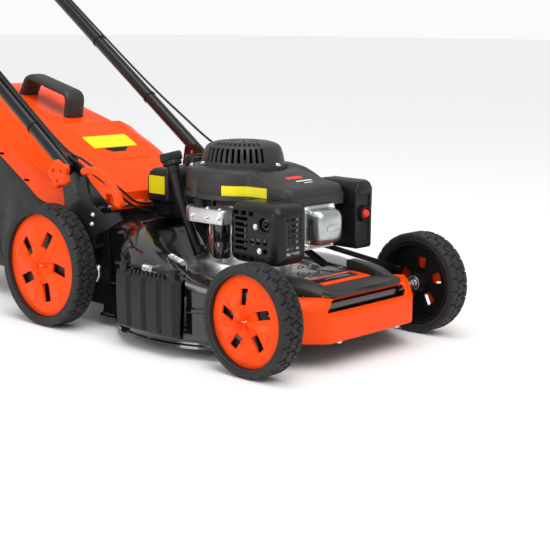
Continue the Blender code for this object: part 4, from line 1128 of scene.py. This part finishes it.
def make_tank():
    """The fuel tank with its seam and neck, its knurled cap and a blank side label."""
    low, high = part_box("fuel_tank")
    rows = []
    sections = (
        (0.2175, 0.05, 0.018), (0.222, 0.056, 0.0225), (0.23, 0.0605, 0.0262), (0.248, 0.064, 0.0275),
        (0.253, 0.07, 0.031), (0.257, 0.0745, 0.0328), (0.264, 0.0755, 0.033), (0.302, 0.0745, 0.0326),
        (0.313, 0.0715, 0.03), (0.3185, 0.066, 0.0255), (0.321, 0.059, 0.02),
    )
    centre = (low + high) / 2
    for z, wide, deep in sections:
        ring = []
        for x, y in softened([(-wide, -deep), (wide, -deep), (wide, deep), (-wide, deep)], 0.01, 5):
            sink = 0.4 * max(0.0, z - 0.3) * (x + 0.02)
            ring.append(Vector((centre.x + x, centre.y + y, z + min(0.0, sink))))
        rows.append(ring)
    tank = grid("moulded_tank", rows, closed=True, caps=(0, -1))
    seam = box("seam", (low.x + 0.0005, low.y + 0.0006, 0.279), (high.x - 0.0005, high.y - 0.0006, 0.2815))
    bm = bmesh.new()
    bm.from_mesh(seam.data)
    upright = [e for e in bm.edges if abs((e.verts[0].co - e.verts[1].co).z) > 0.001]
    bmesh.ops.bevel(bm, geom=upright, offset=0.01, segments=5, profile=0.5, affect="EDGES")
    bm.to_mesh(seam.data)
    bm.free()
    neck = round_bar("neck", 0.021, 0.0, 0.008, at(0.03, 0.425, 0.3135), UP, 32)
    settle(tank, union=(seam, neck), bevel=0.0005, segments=1)
    dress(tank, SATIN, "root", "fuel_tank")
    seat = at(0.03, 0.425, 0.3224)
    cap = [
        (0.0, 0.015), (0.01, 0.0152), (0.0185, 0.016), (0.0205, 0.0185), (0.0225, 0.018), (0.0238, 0.015),
        (0.0242, 0.0), (0.0, 0.0),
    ]
    lid = turned("tank_cap", cap, seat, UP, 48)
    bars = [box("bar", (0.012, back(0.4215), 0.336), (0.048, back(0.4285), 0.3432), 0.002)]
    for k in range(20):
        grip = box(f"grip_{k}", (0.0228, -0.0013, 0.001), (0.0245, 0.0013, 0.0145), 0.0004, 1)
        bars.append(spun(grip, seat, 18 * k))
    settle(lid, union=bars, bevel=0.0004, segments=1)
    dress(lid, SATIN, "fuel_cap", "fuel_cap")
    front, rear = low.y + 0.009, high.y - 0.011
    corners = ((front, 0.27), (rear, 0.27), (rear, 0.306), (front, 0.306))
    rows = [[Vector((low.x + x, y, z)) for y, z in corners] for x in (0.0017, -0.0007)]
    dress(grid("tank_panel", rows, closed=True, caps=(0, -1)), YELLOW, "root")


def make_oil():
    """The oil filler tube and the dipstick with its knurled cap."""
    foot, knee, top = at(-0.08, 0.304, 0.159), at(-0.089, 0.348, 0.27), at(-0.0885, 0.369, 0.332)
    lean = (top - knee).normalized()
    path = rounded([foot, knee, top], 0.05, 14, closed=False)
    filler = tube("filler_tube", path, 0.0098, 28)
    collars = []
    for spot, half in ((top - lean * 0.007, 0.0065), (foot + Vector((0, 0, 0.01)), 0.007)):
        collars.append(round_bar("collar", 0.0125, -half, half, spot, lean, 32))
    bore = round_bar("bore", 0.0068, -0.05, 0.02, top, lean)
    settle(filler, bore, union=collars, bevel=0.0006, segments=1)
    dress(filler, SATIN, "root", "oil_tube")
    cap = [
        (0.0, 0.01), (0.012, 0.01), (0.017, 0.0085), (0.0182, 0.006), (0.0185, 0.0008), (0.0028, 0.0006),
        (0.0028, -0.05), (0.0, -0.05),
    ]
    lid = turned("dipstick_cap", cap, top, lean, 40)
    bar = box("bar", (-0.0225, -0.006, 0.008), (0.0225, 0.006, 0.027), 0.005, 4)
    bar.matrix_world = Matrix.Translation(top) @ frame_along(lean, (0.75, 0.66, 0.0))
    knurls = []
    for k in range(16):
        a = math.radians(22.5 * k)
        grip = box(f"grip_{k}", (0.0172, -0.0014, 0.0012), (0.019, 0.0014, 0.0075), 0.0004, 1)
        grip.matrix_world = Matrix.Translation(top) @ frame_along(lean) @ Matrix.Rotation(a, 4, "Z")
        knurls.append(grip)
    settle(lid, union=(bar, *knurls), bevel=0.0005, segments=1)
    dress(lid, SATIN, "dipstick", "dipstick")


def make_starter():
    """The electric starter: motor, gear housing, its round cover, and the wires down to the crankcase."""
    low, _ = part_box("starter_motor")
    centre = at(-0.106, 0.213, 0.0)
    profile = [
        (0.0, 0.167), (0.013, 0.167), (0.016, 0.1685), (0.017, 0.171), (0.017, 0.198), (0.0166, 0.1986),
        (0.0166, 0.201), (0.017, 0.2016), (0.017, 0.233), (0.0, 0.233),
    ]
    motor = turned("starter_can", profile, centre, UP, 40)
    dress(motor, GLOSS, "root", "starter_motor")
    plan = [
        (low.x + 0.001, back(0.196)), (-0.08, back(0.196)), (-0.08, back(0.312)), (-0.108, back(0.312)),
        (low.x + 0.001, back(0.286)),
    ]
    levels = [(0.001, 0.2325), (0.0, 0.234), (0.0, 0.257), (0.0015, 0.26), (0.004, 0.2615)]
    gears = layered("starter_gears", softened(plan, 0.012, 5), levels, 0.0008)
    dress(gears, CAST, "root")
    pot = [(0.0, 0.02), (0.01, 0.0195), (0.0135, 0.0165), (0.014, 0.0), (0.0, 0.0)]
    dress(turned("starter_cover", pot, at(-0.104, 0.275, 0.2605), UP, 36), SATIN, "root")
    spots = [(at(x, y, 0.2612), UP, 0.004) for x, y in ((-0.118, 0.207), (-0.118, 0.24), (-0.09, 0.301))]
    spots += [(at(low.x + 0.001, y, 0.246), (-1, 0, 0), 0.0036) for y in (0.206, 0.236, 0.276)]
    bolts("starter_bolts", spots, "root")
    for k, y in enumerate((0.235, 0.242)):
        path = ((-0.112, 0.0, 0.233), (-0.113, 0.004, 0.205), (-0.098, 0.012, 0.178), (-0.088, 0.01, 0.16))
        path = curved([at(x, y + shift, z) for x, shift, z in path], 20)
        dress(tube(f"starter_wire_{k}", path, 0.0013, 8), CABLE if k else RED, "root")
    grip_low, grip_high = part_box("starter_grip")
    mid = (grip_low + grip_high) / 2
    rows = []
    for x, wide, tall in (
        (-0.0149, 0.004, 0.004), (-0.0142, 0.0066, 0.0058), (-0.011, 0.0082, 0.0067),
        (-0.004, 0.0088, 0.0069), (0.004, 0.0088, 0.0069), (0.011, 0.0082, 0.0067),
        (0.0142, 0.0066, 0.0058), (0.0149, 0.004, 0.004),
    ):
        rows.append([mid + Vector((x, wide * c, tall * s)) for c, s in circle(28)])
    dress(grid("pull_grip", rows, closed=True, caps=(0, -1)), SATIN, "starter_grip", "starter_grip")
    ring = [(0.003, 0.0), (0.0075, 0.0), (0.0085, 0.003), (0.0085, 0.008), (0.003, 0.008)]
    exit_at = (mid.x, grip_low.y - 0.006, mid.z - 0.006)
    dress(turned("rope_guide", ring, exit_at, (0, -0.8, -0.6), 24, closed=True), SATIN, "root")


# ---------------------------------------------------------------- height lever
def grip_section(t):
    """The curved grip's half width and height: full in its middle, drawn in at its ends."""
    full = smooth(t / 0.05) * smooth((1 - t) / 0.05)
    return 0.002 + (0.0064 + 0.0008 * math.cos(t * 6.0)) * full, 0.0014 + 0.006 * full


def make_lever():
    """The lever's plate stays as it is; the grip sits a little outside its middle, clear of the handle."""
    x = middle("lever_grip").x
    keep_node("height_lever", SATIN, 0.0014, 3)
    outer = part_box("height_lever")[0].x
    spots = [(at(outer - 0.0002, y, z), (-1, 0, 0), 0.0036) for y, z in ((0.4655, 0.2363), (0.4686, 0.2175))]
    spots.append((at(outer - 0.0002, 0.482, 0.168), (-1, 0, 0), 0.0052))
    bolts("lever_screws", spots, "lever")
    sweep = [
        (0.495, 0.316), (0.484, 0.3215), (0.468, 0.324), (0.45, 0.322), (0.434, 0.3165), (0.419, 0.308),
        (0.406, 0.2975), (0.395, 0.285), (0.387, 0.2715), (0.383, 0.256),
    ]
    path = curved([at(x - 0.0022, y, z) for y, z in sweep], 48)
    grip = grid("curved_grip", strap(path, grip_section, 3, 28), closed=True, caps=(0, -1), sharp=50.0)
    dress(grip, ORANGE, "lever", "lever_grip")
    wire = [(0.484, 0.151), (0.486, 0.136), (0.455, 0.128), (0.453, 0.116), (0.462, 0.103)]
    wire = rounded([at(x, y, z) for y, z in wire], 0.01, 8, closed=False)
    dress(tube("spring_wire", wire, 0.0031, 16), ZINC, "lever", "lever_spring")


# ---------------------------------------------------------------- rear flap and catcher
FLAP_Y, FLAP_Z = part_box("flap_hinge_rod")[0].y + 0.004, middle("flap_hinge_rod").z
SLOPE = 0.59


def hood_profile(half, drop, edge, z, crown=0.0):
    """Half of a hood's section from its lower edge to its middle: (x, z) points."""
    return [
        (half, edge), (half, edge * 0.45 + (z - drop) * 0.55), (half - 0.0004, z - drop - 0.006),
        (half - 0.0024, z - drop + 0.0004), (half - 0.0075, z - drop * 0.9), (half * 0.85, z - drop * 0.63),
        (0.12, z - drop * 0.29), (0.1145, z - drop * 0.22), (0.108, z - drop * 0.175),
        (0.089, z - drop * 0.045), (0.082, z - drop * 0.008), (0.076, z + crown * 0.2),
        (0.05, z + crown * 0.7), (0.025, z + crown * 0.95), (0.0, z + crown),
    ]


def hood_row(y, half, drop, edge, z, crown=0.0, shape=None):
    """A whole hood section at one y, from edge to edge."""
    side = hood_profile(half, drop, edge, z, crown)
    row = [(-x, height) for x, height in side] + [(x, height) for x, height in reversed(side[:-1])]
    if shape:
        row = [(x, height + shape(x, y)) for x, height in row]
    return [Vector((x, y, height)) for x, height in row]


def flap_height(along):
    """The height of the flap's middle panel, which levels out towards its end."""
    return FLAP_Z + 0.018 + SLOPE * along - 0.01 * smooth((along - 0.14) / 0.1)


def on_flap(x, along, lift=0.0):
    """A point on the flap's middle panel."""
    return Vector((x, FLAP_Y + along, flap_height(along) + lift))


def flap_patch(name, outline, levels):
    """A thin raised shape on the flap's panel: outline of (x, along), levels of (scale, lift)."""
    mid_x = sum(x for x, _ in outline) / len(outline)
    mid_y = sum(y for _, y in outline) / len(outline)
    rows = []
    for inset, lift in levels:
        row = []
        for x, y in outline:
            away = Vector((x - mid_x, y - mid_y))
            shrink = max(0.0, 1 - inset / away.length)
            row.append(on_flap(mid_x + away.x * shrink, mid_y + away.y * shrink, lift))
        rows.append(row)
    return grid(name, rows, closed=True, caps=(0, -1))


def make_flap():
    """The rear flap on its knuckles, with its raised pad, blank label and notch."""
    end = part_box("rear_flap")[1].y - FLAP_Y - 0.0005
    hinge = (0, FLAP_Y, FLAP_Z)
    rows = []
    for k in range(49):
        along = 0.012 + (end - 0.012) * k / 48
        z = flap_height(along)
        drop = 0.006 + 0.06 * smooth(along / 0.1)
        edge = z - drop - 0.004 - 0.004 * smooth((along - 0.16) / 0.06)
        curl = -0.003 * smooth((0.03 - along) / 0.018)
        rows.append(hood_row(FLAP_Y + along, 0.165, drop, edge, z + curl))
    flap = grid("rear_flap_skin", rows, thickness=0.0034, sharp=28.0)
    parts = [round_bar("knuckle", 0.0085, -0.15, 0.15, hinge, X_AXIS, 36)]
    parts.append(box("web", (-0.15, FLAP_Y + 0.002, FLAP_Z), (0.15, FLAP_Y + 0.016, FLAP_Z + 0.026)))
    bore = round_bar("bore", 0.0048, -0.25, 0.25, hinge, X_AXIS)
    gaps = []
    for k in range(5):
        x = -0.108 + 0.054 * k
        start, end = (x - 0.012, FLAP_Y - 0.012, FLAP_Z - 0.012), (x + 0.012, FLAP_Y + 0.0015, FLAP_Z + 0.012)
        gaps.append(box(f"gap_{k}", start, end))
    settle(flap, bore, *gaps, union=parts, sharp=28.0)
    dress(flap, ORANGE, "rear_flap", "rear_flap")
    pad = [(-0.06, 0.104), (-0.079, 0.136), (-0.079, 0.216), (0.066, 0.216), (0.066, 0.136), (0.05, 0.104)]
    label = [(-0.074, 0.142), (0.046, 0.142), (0.046, 0.184), (-0.074, 0.184)]
    notch = [(-0.046, 0.14), (0.016, 0.14), (0.002, 0.129), (-0.032, 0.129)]
    for name, finish, outline, levels in (
        (
            "flap_pad", ORANGE, softened(pad, 0.008, 4),
            ((0.0, -0.0015), (0.0, 0.0004), (0.003, 0.0022), (0.0042, 0.0024)),
        ),
        ("flap_label", YELLOW, softened(label, 0.004, 3), ((0.0, 0.0012), (0.0, 0.0027), (0.0004, 0.0029))),
        ("flap_notch", SATIN, notch, ((0.0, 0.0005), (0.0, 0.0025), (0.0006, 0.0027))),
    ):
        dress(flap_patch(name, outline, levels), finish, "rear_flap")


def lid_arch(x, y):
    """The raised arch round the carrying handle, and the lid's shallow flutes."""
    back_at = y - FRONT_Y
    ring = math.hypot(x / 0.08, (back_at - 0.885) / 0.15)
    arch = 0.005 * smooth((1.0 - abs(ring - 0.8) / 0.2) / 0.35) if ring < 1.05 else 0.0
    return arch * smooth((back_at - 0.775) / 0.04)


def make_lid():
    """The catcher's lid with its vents, and the carrying handle on it."""
    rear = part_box("catcher_lid")[1].y
    stations = (
        (0.622, None, 0.23), (0.7, None, 0.238), (0.755, 0.39, 0.27), (0.86, 0.419, 0.333),
        (0.98, 0.452, 0.405), (1.08, 0.465, 0.435), (1.1345, 0.458, 0.435),
    )
    fixed = []
    for y, top, edge in stations:
        z = flap_height(back(y) - FLAP_Y) - 0.012 if top is None else top
        fixed.append(Vector((y, z, edge)))
    rows = []
    for y, z, edge in curved(fixed, 84):
        drop = min(0.066, z - edge - 0.006)
        rows.append(hood_row(back(y), 0.1638, drop, edge, z, 0.0, lid_arch))
    lid = grid("catcher_hood", rows, thickness=0.0028, sharp=30.0)
    lip = box("lid_back", (-0.162, rear - 0.0045, 0.4362), (0.162, rear - 0.0008, 0.448))
    cuts = []
    for side in (-1, 1):
        for y, z in ((0.741, 0.276), (0.829, 0.327)):
            x = side * 0.164
            start, end = (x - 0.012, back(y), z - 0.0025), (x + 0.012, back(y + 0.02), z + 0.0025)
            cuts.append(box("vent", start, end, 0.0015, 2))
    settle(lid, *cuts, union=[lip], sharp=30.0)
    dress(lid, ORANGE, "catcher", "catcher_lid")
    leg = [at(0, 0.792, 0.403), at(0, 0.784, 0.452), at(0, 0.93, 0.488), at(0, 0.955, 0.448)]
    dense = densified(rounded(leg, 0.02, 12, closed=False), 0.006)
    rows = strap(dense, lambda _: (0.026, 0.0085), 2.6, 24)
    dress(
        grid("carry_handle", rows, closed=True, caps=(0, -1), sharp=50.0), GREY, "catcher",
        "catcher_handle",
    )


def make_bag():
    """The cloth bag under the lid: tight at its rim, sagging and creased between its frame wires."""
    stations = (
        (0.65, 0.228, 0.2, 0.155), (0.7, 0.236, 0.095, 0.16), (0.86, 0.332, 0.064, 0.163),
        (0.98, 0.403, 0.075, 0.163), (1.12, 0.434, 0.115, 0.158),
    )
    edges = curved([Vector((y, edge, half)) for y, edge, _, half in stations], 72)
    floors = curved([Vector((y, floor, 0)) for y, _, floor, _ in stations], 72)
    rows = []
    for (y, edge, half), (_, floor, _) in zip(edges, floors):
        section = []
        for i in range(41):
            t = i / 40
            section.append(Vector((-half + 0.0006, 0, edge + (floor + 0.034 - edge) * t)))
        for i in range(1, 9):
            a = math.pi / 2 * i / 8
            section.append(
                Vector((-half + 0.032 - 0.0314 * math.cos(a), 0, floor + 0.034 - 0.033 * math.sin(a)))
            )
        for i in range(1, 31):
            section.append(Vector(((-half + 0.032) * (1 - i / 30), 0, floor + 0.001)))
        row = []
        for p in section + [Vector((-p.x, 0, p.z)) for p in reversed(section[:-1])]:
            low_down = min(1.0, max(0.0, (edge - p.z) / 0.06))
            share = min(1.0, max(0.0, (edge - p.z) / max(0.03, edge - floor)))
            billow = 0.0065 * math.sin(share * math.pi)
            crease = noise.noise(Vector((p.x * 14, y * 9, p.z * 24))) * 0.0042 * low_down
            crease += noise.noise(Vector((p.x * 40, y * 34, p.z * 46))) * 0.0014 * low_down
            drape = 0.0022 * math.sin(y * 92 + p.z * 16) * low_down * smooth((edge - p.z) / 0.15)
            shift = billow - 0.0055 + crease + drape
            out = Vector((p.x, 0, (p.z - (floor + edge) / 2) * 0.8))
            out = out.normalized() if out.length > 1e-6 else out
            spot = p + out * min(shift, 0.004)
            row.append(Vector((spot.x, back(y), spot.z)))
        rows.append(row)
    inner = []
    last = rows[-1]
    centre = (last[0] + last[-1]) / 2
    for k in range(1, 12):
        share = 1 - k / 11.5
        bulge = 0.0095 * math.sqrt(max(0.0, 1 - share ** 2))
        row = []
        for p in last:
            spot = centre + (p - centre) * share
            spot.y += bulge + 0.003 * noise.noise(Vector((spot.x * 20, 3.0, spot.z * 20))) * (1 - share)
            row.append(spot)
        inner.append(row)
    bag = grid("cloth_bag", rows + inner, thickness=0.0018, sharp=60.0)
    dress(bag, FABRIC, "catcher", "catcher_bag")
    for k, index in enumerate((0, 36, 71)):
        dress(tube(f"bag_piping_{k}", rows[index][2:-2:2], 0.0024, 8), FABRIC, "catcher")


# ---------------------------------------------------------------- handle
def along_handle(distance, x, off=0.0):
    """A point this far up the handle from its fold, and off above the tube."""
    run, rise = math.cos(HANDLE_TILT), math.sin(HANDLE_TILT)
    return Vector((x, FOLD.y + distance * run - off * rise, FOLD.z + distance * rise + off * run))


REACH = (0.83 - TUBE - FOLD.y) / math.cos(HANDLE_TILT)


def make_handle():
    """The U-shaped handle bar with its sleeve, its two bails and their plugs."""
    stub = -0.022
    corners = [along_handle(stub, -HANDLE_X), along_handle(REACH, -HANDLE_X)]
    corners += [along_handle(REACH, HANDLE_X), along_handle(stub, HANDLE_X)]
    bar = tube("handle_tube", rounded(corners, 0.07, 18, closed=False), TUBE, 40)
    cuts = [round_bar("fold", 0.005, -0.25, 0.25, FOLD, X_AXIS)]
    for start in BAIL_STARTS.values():
        cuts.append(
            round_bar("eye", 0.0051, -HANDLE_X, HANDLE_X, along_handle(REACH - start, 0.0), X_AXIS, 20)
        )
    settle(bar, *cuts, sharp=40.0)
    dress(bar, PAINTED, "handle", "handle_bar")
    middle_run = [along_handle(REACH, x) for x in (-0.11, -0.106, 0.106, 0.11)]
    sleeve = tube(
        "foam_sleeve", middle_run, lambda t: TUBE - 0.0004 if t in (0.0, 1.0) else TUBE - 0.0001, 40,
    )
    dress(sleeve, SATIN, "handle")
    inner = HANDLE_X - TUBE - 0.006
    for name, depth, off in (("brake_bail", 0.165, 0.046), ("drive_bail", 0.19, -0.048)):
        base = REACH - BAIL_STARTS[name]
        tip = base + depth
        side = [
            along_handle(base, 0.001 - HANDLE_X), along_handle(base, -inner),
            along_handle(base + 0.03, -inner, off * 0.5), along_handle(tip, 0.01 - inner, off),
        ]
        path = side + [Vector((-p.x, p.y, p.z)) for p in reversed(side)]
        path = rounded(path, 0.03, 12, closed=False)
        dress(tube(name + "_rod", path, 0.004, 18), PAINTED, name, name)
    plug = [(0.0, 0.0), (0.0085, 0.0), (0.0085, 0.0022), (0.007, 0.0035), (0.0, 0.004)]
    for side in (-1, 1):
        for start in BAIL_STARTS.values():
            spot = along_handle(REACH - start, side * (HANDLE_X + TUBE - 0.0012))
            dress(turned("bail_plug", plug, spot, (side, 0, 0), 24), SATIN, "handle")


def make_clamps():
    """The lobed orange knobs that lock the handle at its fold."""
    for name, side in (("clamp_right", -1), ("clamp_left", 1)):
        low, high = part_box(name)
        outer = high.x if side > 0 else low.x
        seat = side * (HANDLE_X + TUBE + 0.0003)
        outline = []
        for k in range(72):
            a = 2 * math.pi * k / 72
            reach = 1.0 + 0.13 * math.cos(5 * a)
            outline.append((0.0285 * reach * math.cos(a), 0.0265 * reach * math.sin(a)))
        rows = []
        centre = Vector((0, FOLD.y - 0.019, FOLD.z - 0.018))
        for share, x in (
            (0.5, 0.0002), (0.62, 0.001), (0.7, 0.006), (0.98, 0.0075), (1.02, 0.01), (1.0, 0.015),
            (0.96, 0.018), (0.86, 0.02), (0.72, 0.0207), (0.45, 0.0196), (0.2, 0.019),
        ):
            rows.append([centre + Vector((seat + side * x, y * share, z * share)) for y, z in outline])
        knob = grid("wing_knob_" + name, rows, closed=True, caps=(0, -1), sharp=42.0)
        cuts = []
        for k in range(3):
            a = math.radians(120 * k + 30)
            spot = Vector((outer, centre.y + 0.014 * math.cos(a), centre.z + 0.014 * math.sin(a)))
            cuts.append(round_bar("dimple", 0.0042, -0.006, 0.02, spot, (side, 0, 0), 16))
        outer_end = (seat + side * 0.001, FOLD.y, FOLD.z)
        shank = round_bar("shank", 0.004, 0.0, abs(seat) - 0.168, outer_end, (-side, 0, 0))
        settle(knob, *cuts, sharp=42.0)
        dress(knob, ORANGE, name, name)
        dress(shank, ZINC, name)
        bracket = [
            (0.548, 0.262), (0.566, 0.262), (0.586, 0.29), (0.592, 0.33), (0.58, 0.342), (0.56, 0.338),
            (0.548, 0.31),
        ]
        outline = [(back(y), z) for y, z in bracket]
        dress(prism("fold_plate_" + name, outline, "x", side * 0.1752, side * 0.1763, 0.0003), SATIN, "root")


def make_cables():
    """The three sheathed cables and the ties that hold them to the handle."""
    over = TUBE + 0.0045
    for name, shift, high, end in (
        ("drive_cable", 0.0, 0.0, at(-0.06, 0.47, 0.227)),
        ("brake_cable", 0.0072, 0.009, at(-0.02, 0.468, 0.244)),
    ):
        x = shift - HANDLE_X
        given = [
            along_handle(REACH - 0.25, x, over), along_handle(0.3, x, over),
            along_handle(0.04, x, over + 0.002), at(0.001 + x, 0.53, 0.327 + high),
            at(0.01 + x, 0.47, 0.296 + high), at(0.04 + x, 0.454, 0.266 + high),
            at(0.086 + x, 0.462, 0.24 + high), end,
        ]
        lay_cable(name, given)
    given = [
        along_handle(REACH - 0.25, HANDLE_X, over), along_handle(0.3, HANDLE_X, over + 0.004),
        along_handle(0.06, HANDLE_X - 0.004, over + 0.02), at(0.182, 0.53, 0.35), at(0.176, 0.46, 0.32),
        at(0.156, 0.4, 0.29), at(0.13, 0.33, 0.262),
    ]
    lay_cable("stop_cable", given)
    for side, spots in ((-1, (0.12, 0.33, 0.52)), (1, (0.2, 0.42))):
        for k, distance in enumerate(spots):
            ring = [
                (TUBE + 0.0002, -0.0025), (TUBE + 0.0016, -0.0025), (TUBE + 0.0016, 0.0025),
                (TUBE + 0.0002, 0.0025),
            ]
            lean = along_handle(1, 0) - along_handle(0, 0)
            tie = turned(
                f"cable_tie_{k}", ring, along_handle(distance, side * HANDLE_X), lean, 32, closed=True,
            )
            dress(tie, SATIN, "handle")


def lay_cable(name, given):
    """A cable that bends between the machine and the handle."""
    cable = tube(name + "_sheath", curved(given, 150), 0.0026, 14)
    cable.data.materials.append(CABLE)
    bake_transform(cable)
    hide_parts(name)


# ---------------------------------------------------------------- putting it together
make_wheels()
make_deck()
make_deck_wires()
make_side_plates()
make_bumper()
make_front_cover()
make_side_cover()
make_running_gear()
make_crankcase()
make_valve_cover()
make_guard()
make_housing()
make_recoil()
make_intake()
make_tank()
make_oil()
make_starter()
make_lever()
make_flap()
make_lid()
make_bag()
make_handle()
make_clamps()
make_cables()


# ---------------------------------------------------------------- floor, light and camera
floor = grid("floor", [[Vector((x, y, 0.0)) for x in (-60, 60)] for y in (-60, 60)])
floor.data.materials.append(new_material("studio_floor", (0.88, 0.88, 0.88), 0.9)[0])

world = bpy.data.worlds.new("studio")
bpy.context.scene.world = world
world.use_nodes = True
backdrop = world.node_tree.nodes["Background"]
backdrop.inputs["Strength"].default_value = 0.62
around = world.node_tree.nodes.new("ShaderNodeTexCoord")
split = world.node_tree.nodes.new("ShaderNodeSeparateXYZ")
glow = world.node_tree.nodes.new("ShaderNodeMapRange")
for socket, value in (("From Min", 0.03), ("From Max", 0.16), ("To Min", 1.55), ("To Max", 1.0)):
    glow.inputs[socket].default_value = value
world.node_tree.links.new(around.outputs["Generated"], split.inputs["Vector"])
world.node_tree.links.new(split.outputs["Z"], glow.inputs["Value"])
world.node_tree.links.new(glow.outputs["Result"], backdrop.inputs["Color"])


def soft_light(name, place, aim, size, power):
    """A rectangular light that faces a point."""
    lamp = bpy.data.lights.new(name, "AREA")
    lamp.shape = "RECTANGLE"
    lamp.size, lamp.size_y = size
    lamp.energy = power
    obj = bpy.data.objects.new(name, lamp)
    bpy.context.scene.collection.objects.link(obj)
    obj.location = place
    obj.rotation_euler = (Vector(aim) - Vector(place)).to_track_quat("-Z", "Y").to_euler()


soft_light("overhead", (-0.4, -0.6, 3.2), (0.0, 0.0, 0.2), (2.2, 1.8), 36)
soft_light("side_fill", (-3.4, -0.2, 1.4), (0.0, 0.0, 0.25), (1.0, 1.4), 26)
daylight = bpy.data.lights.new("wide_key", "SUN")
daylight.energy = 1.5
daylight.angle = 0.7
key = bpy.data.objects.new("wide_key", daylight)
bpy.context.scene.collection.objects.link(key)
key.rotation_euler = Vector((0.3, 0.55, -0.85)).to_track_quat("-Z", "Y").to_euler()

lens = bpy.data.cameras.new("camera")
lens.lens = 83.25
lens.sensor_width = 36.0
camera = bpy.data.objects.new("camera", lens)
bpy.context.scene.collection.objects.link(camera)
turn = Matrix.Rotation(math.radians(-47.4221), 4, "Z") @ Matrix.Rotation(math.radians(90 - 11.0591), 4, "X")
turn = turn @ Matrix.Rotation(math.radians(0.459), 4, "Z")
camera.matrix_world = Matrix.Translation((-1.80919, -2.21877, 0.60504)) @ turn
bpy.context.scene.camera = camera
bpy.context.scene.view_settings.view_transform = "Standard"

bpy.context.view_layer.update()
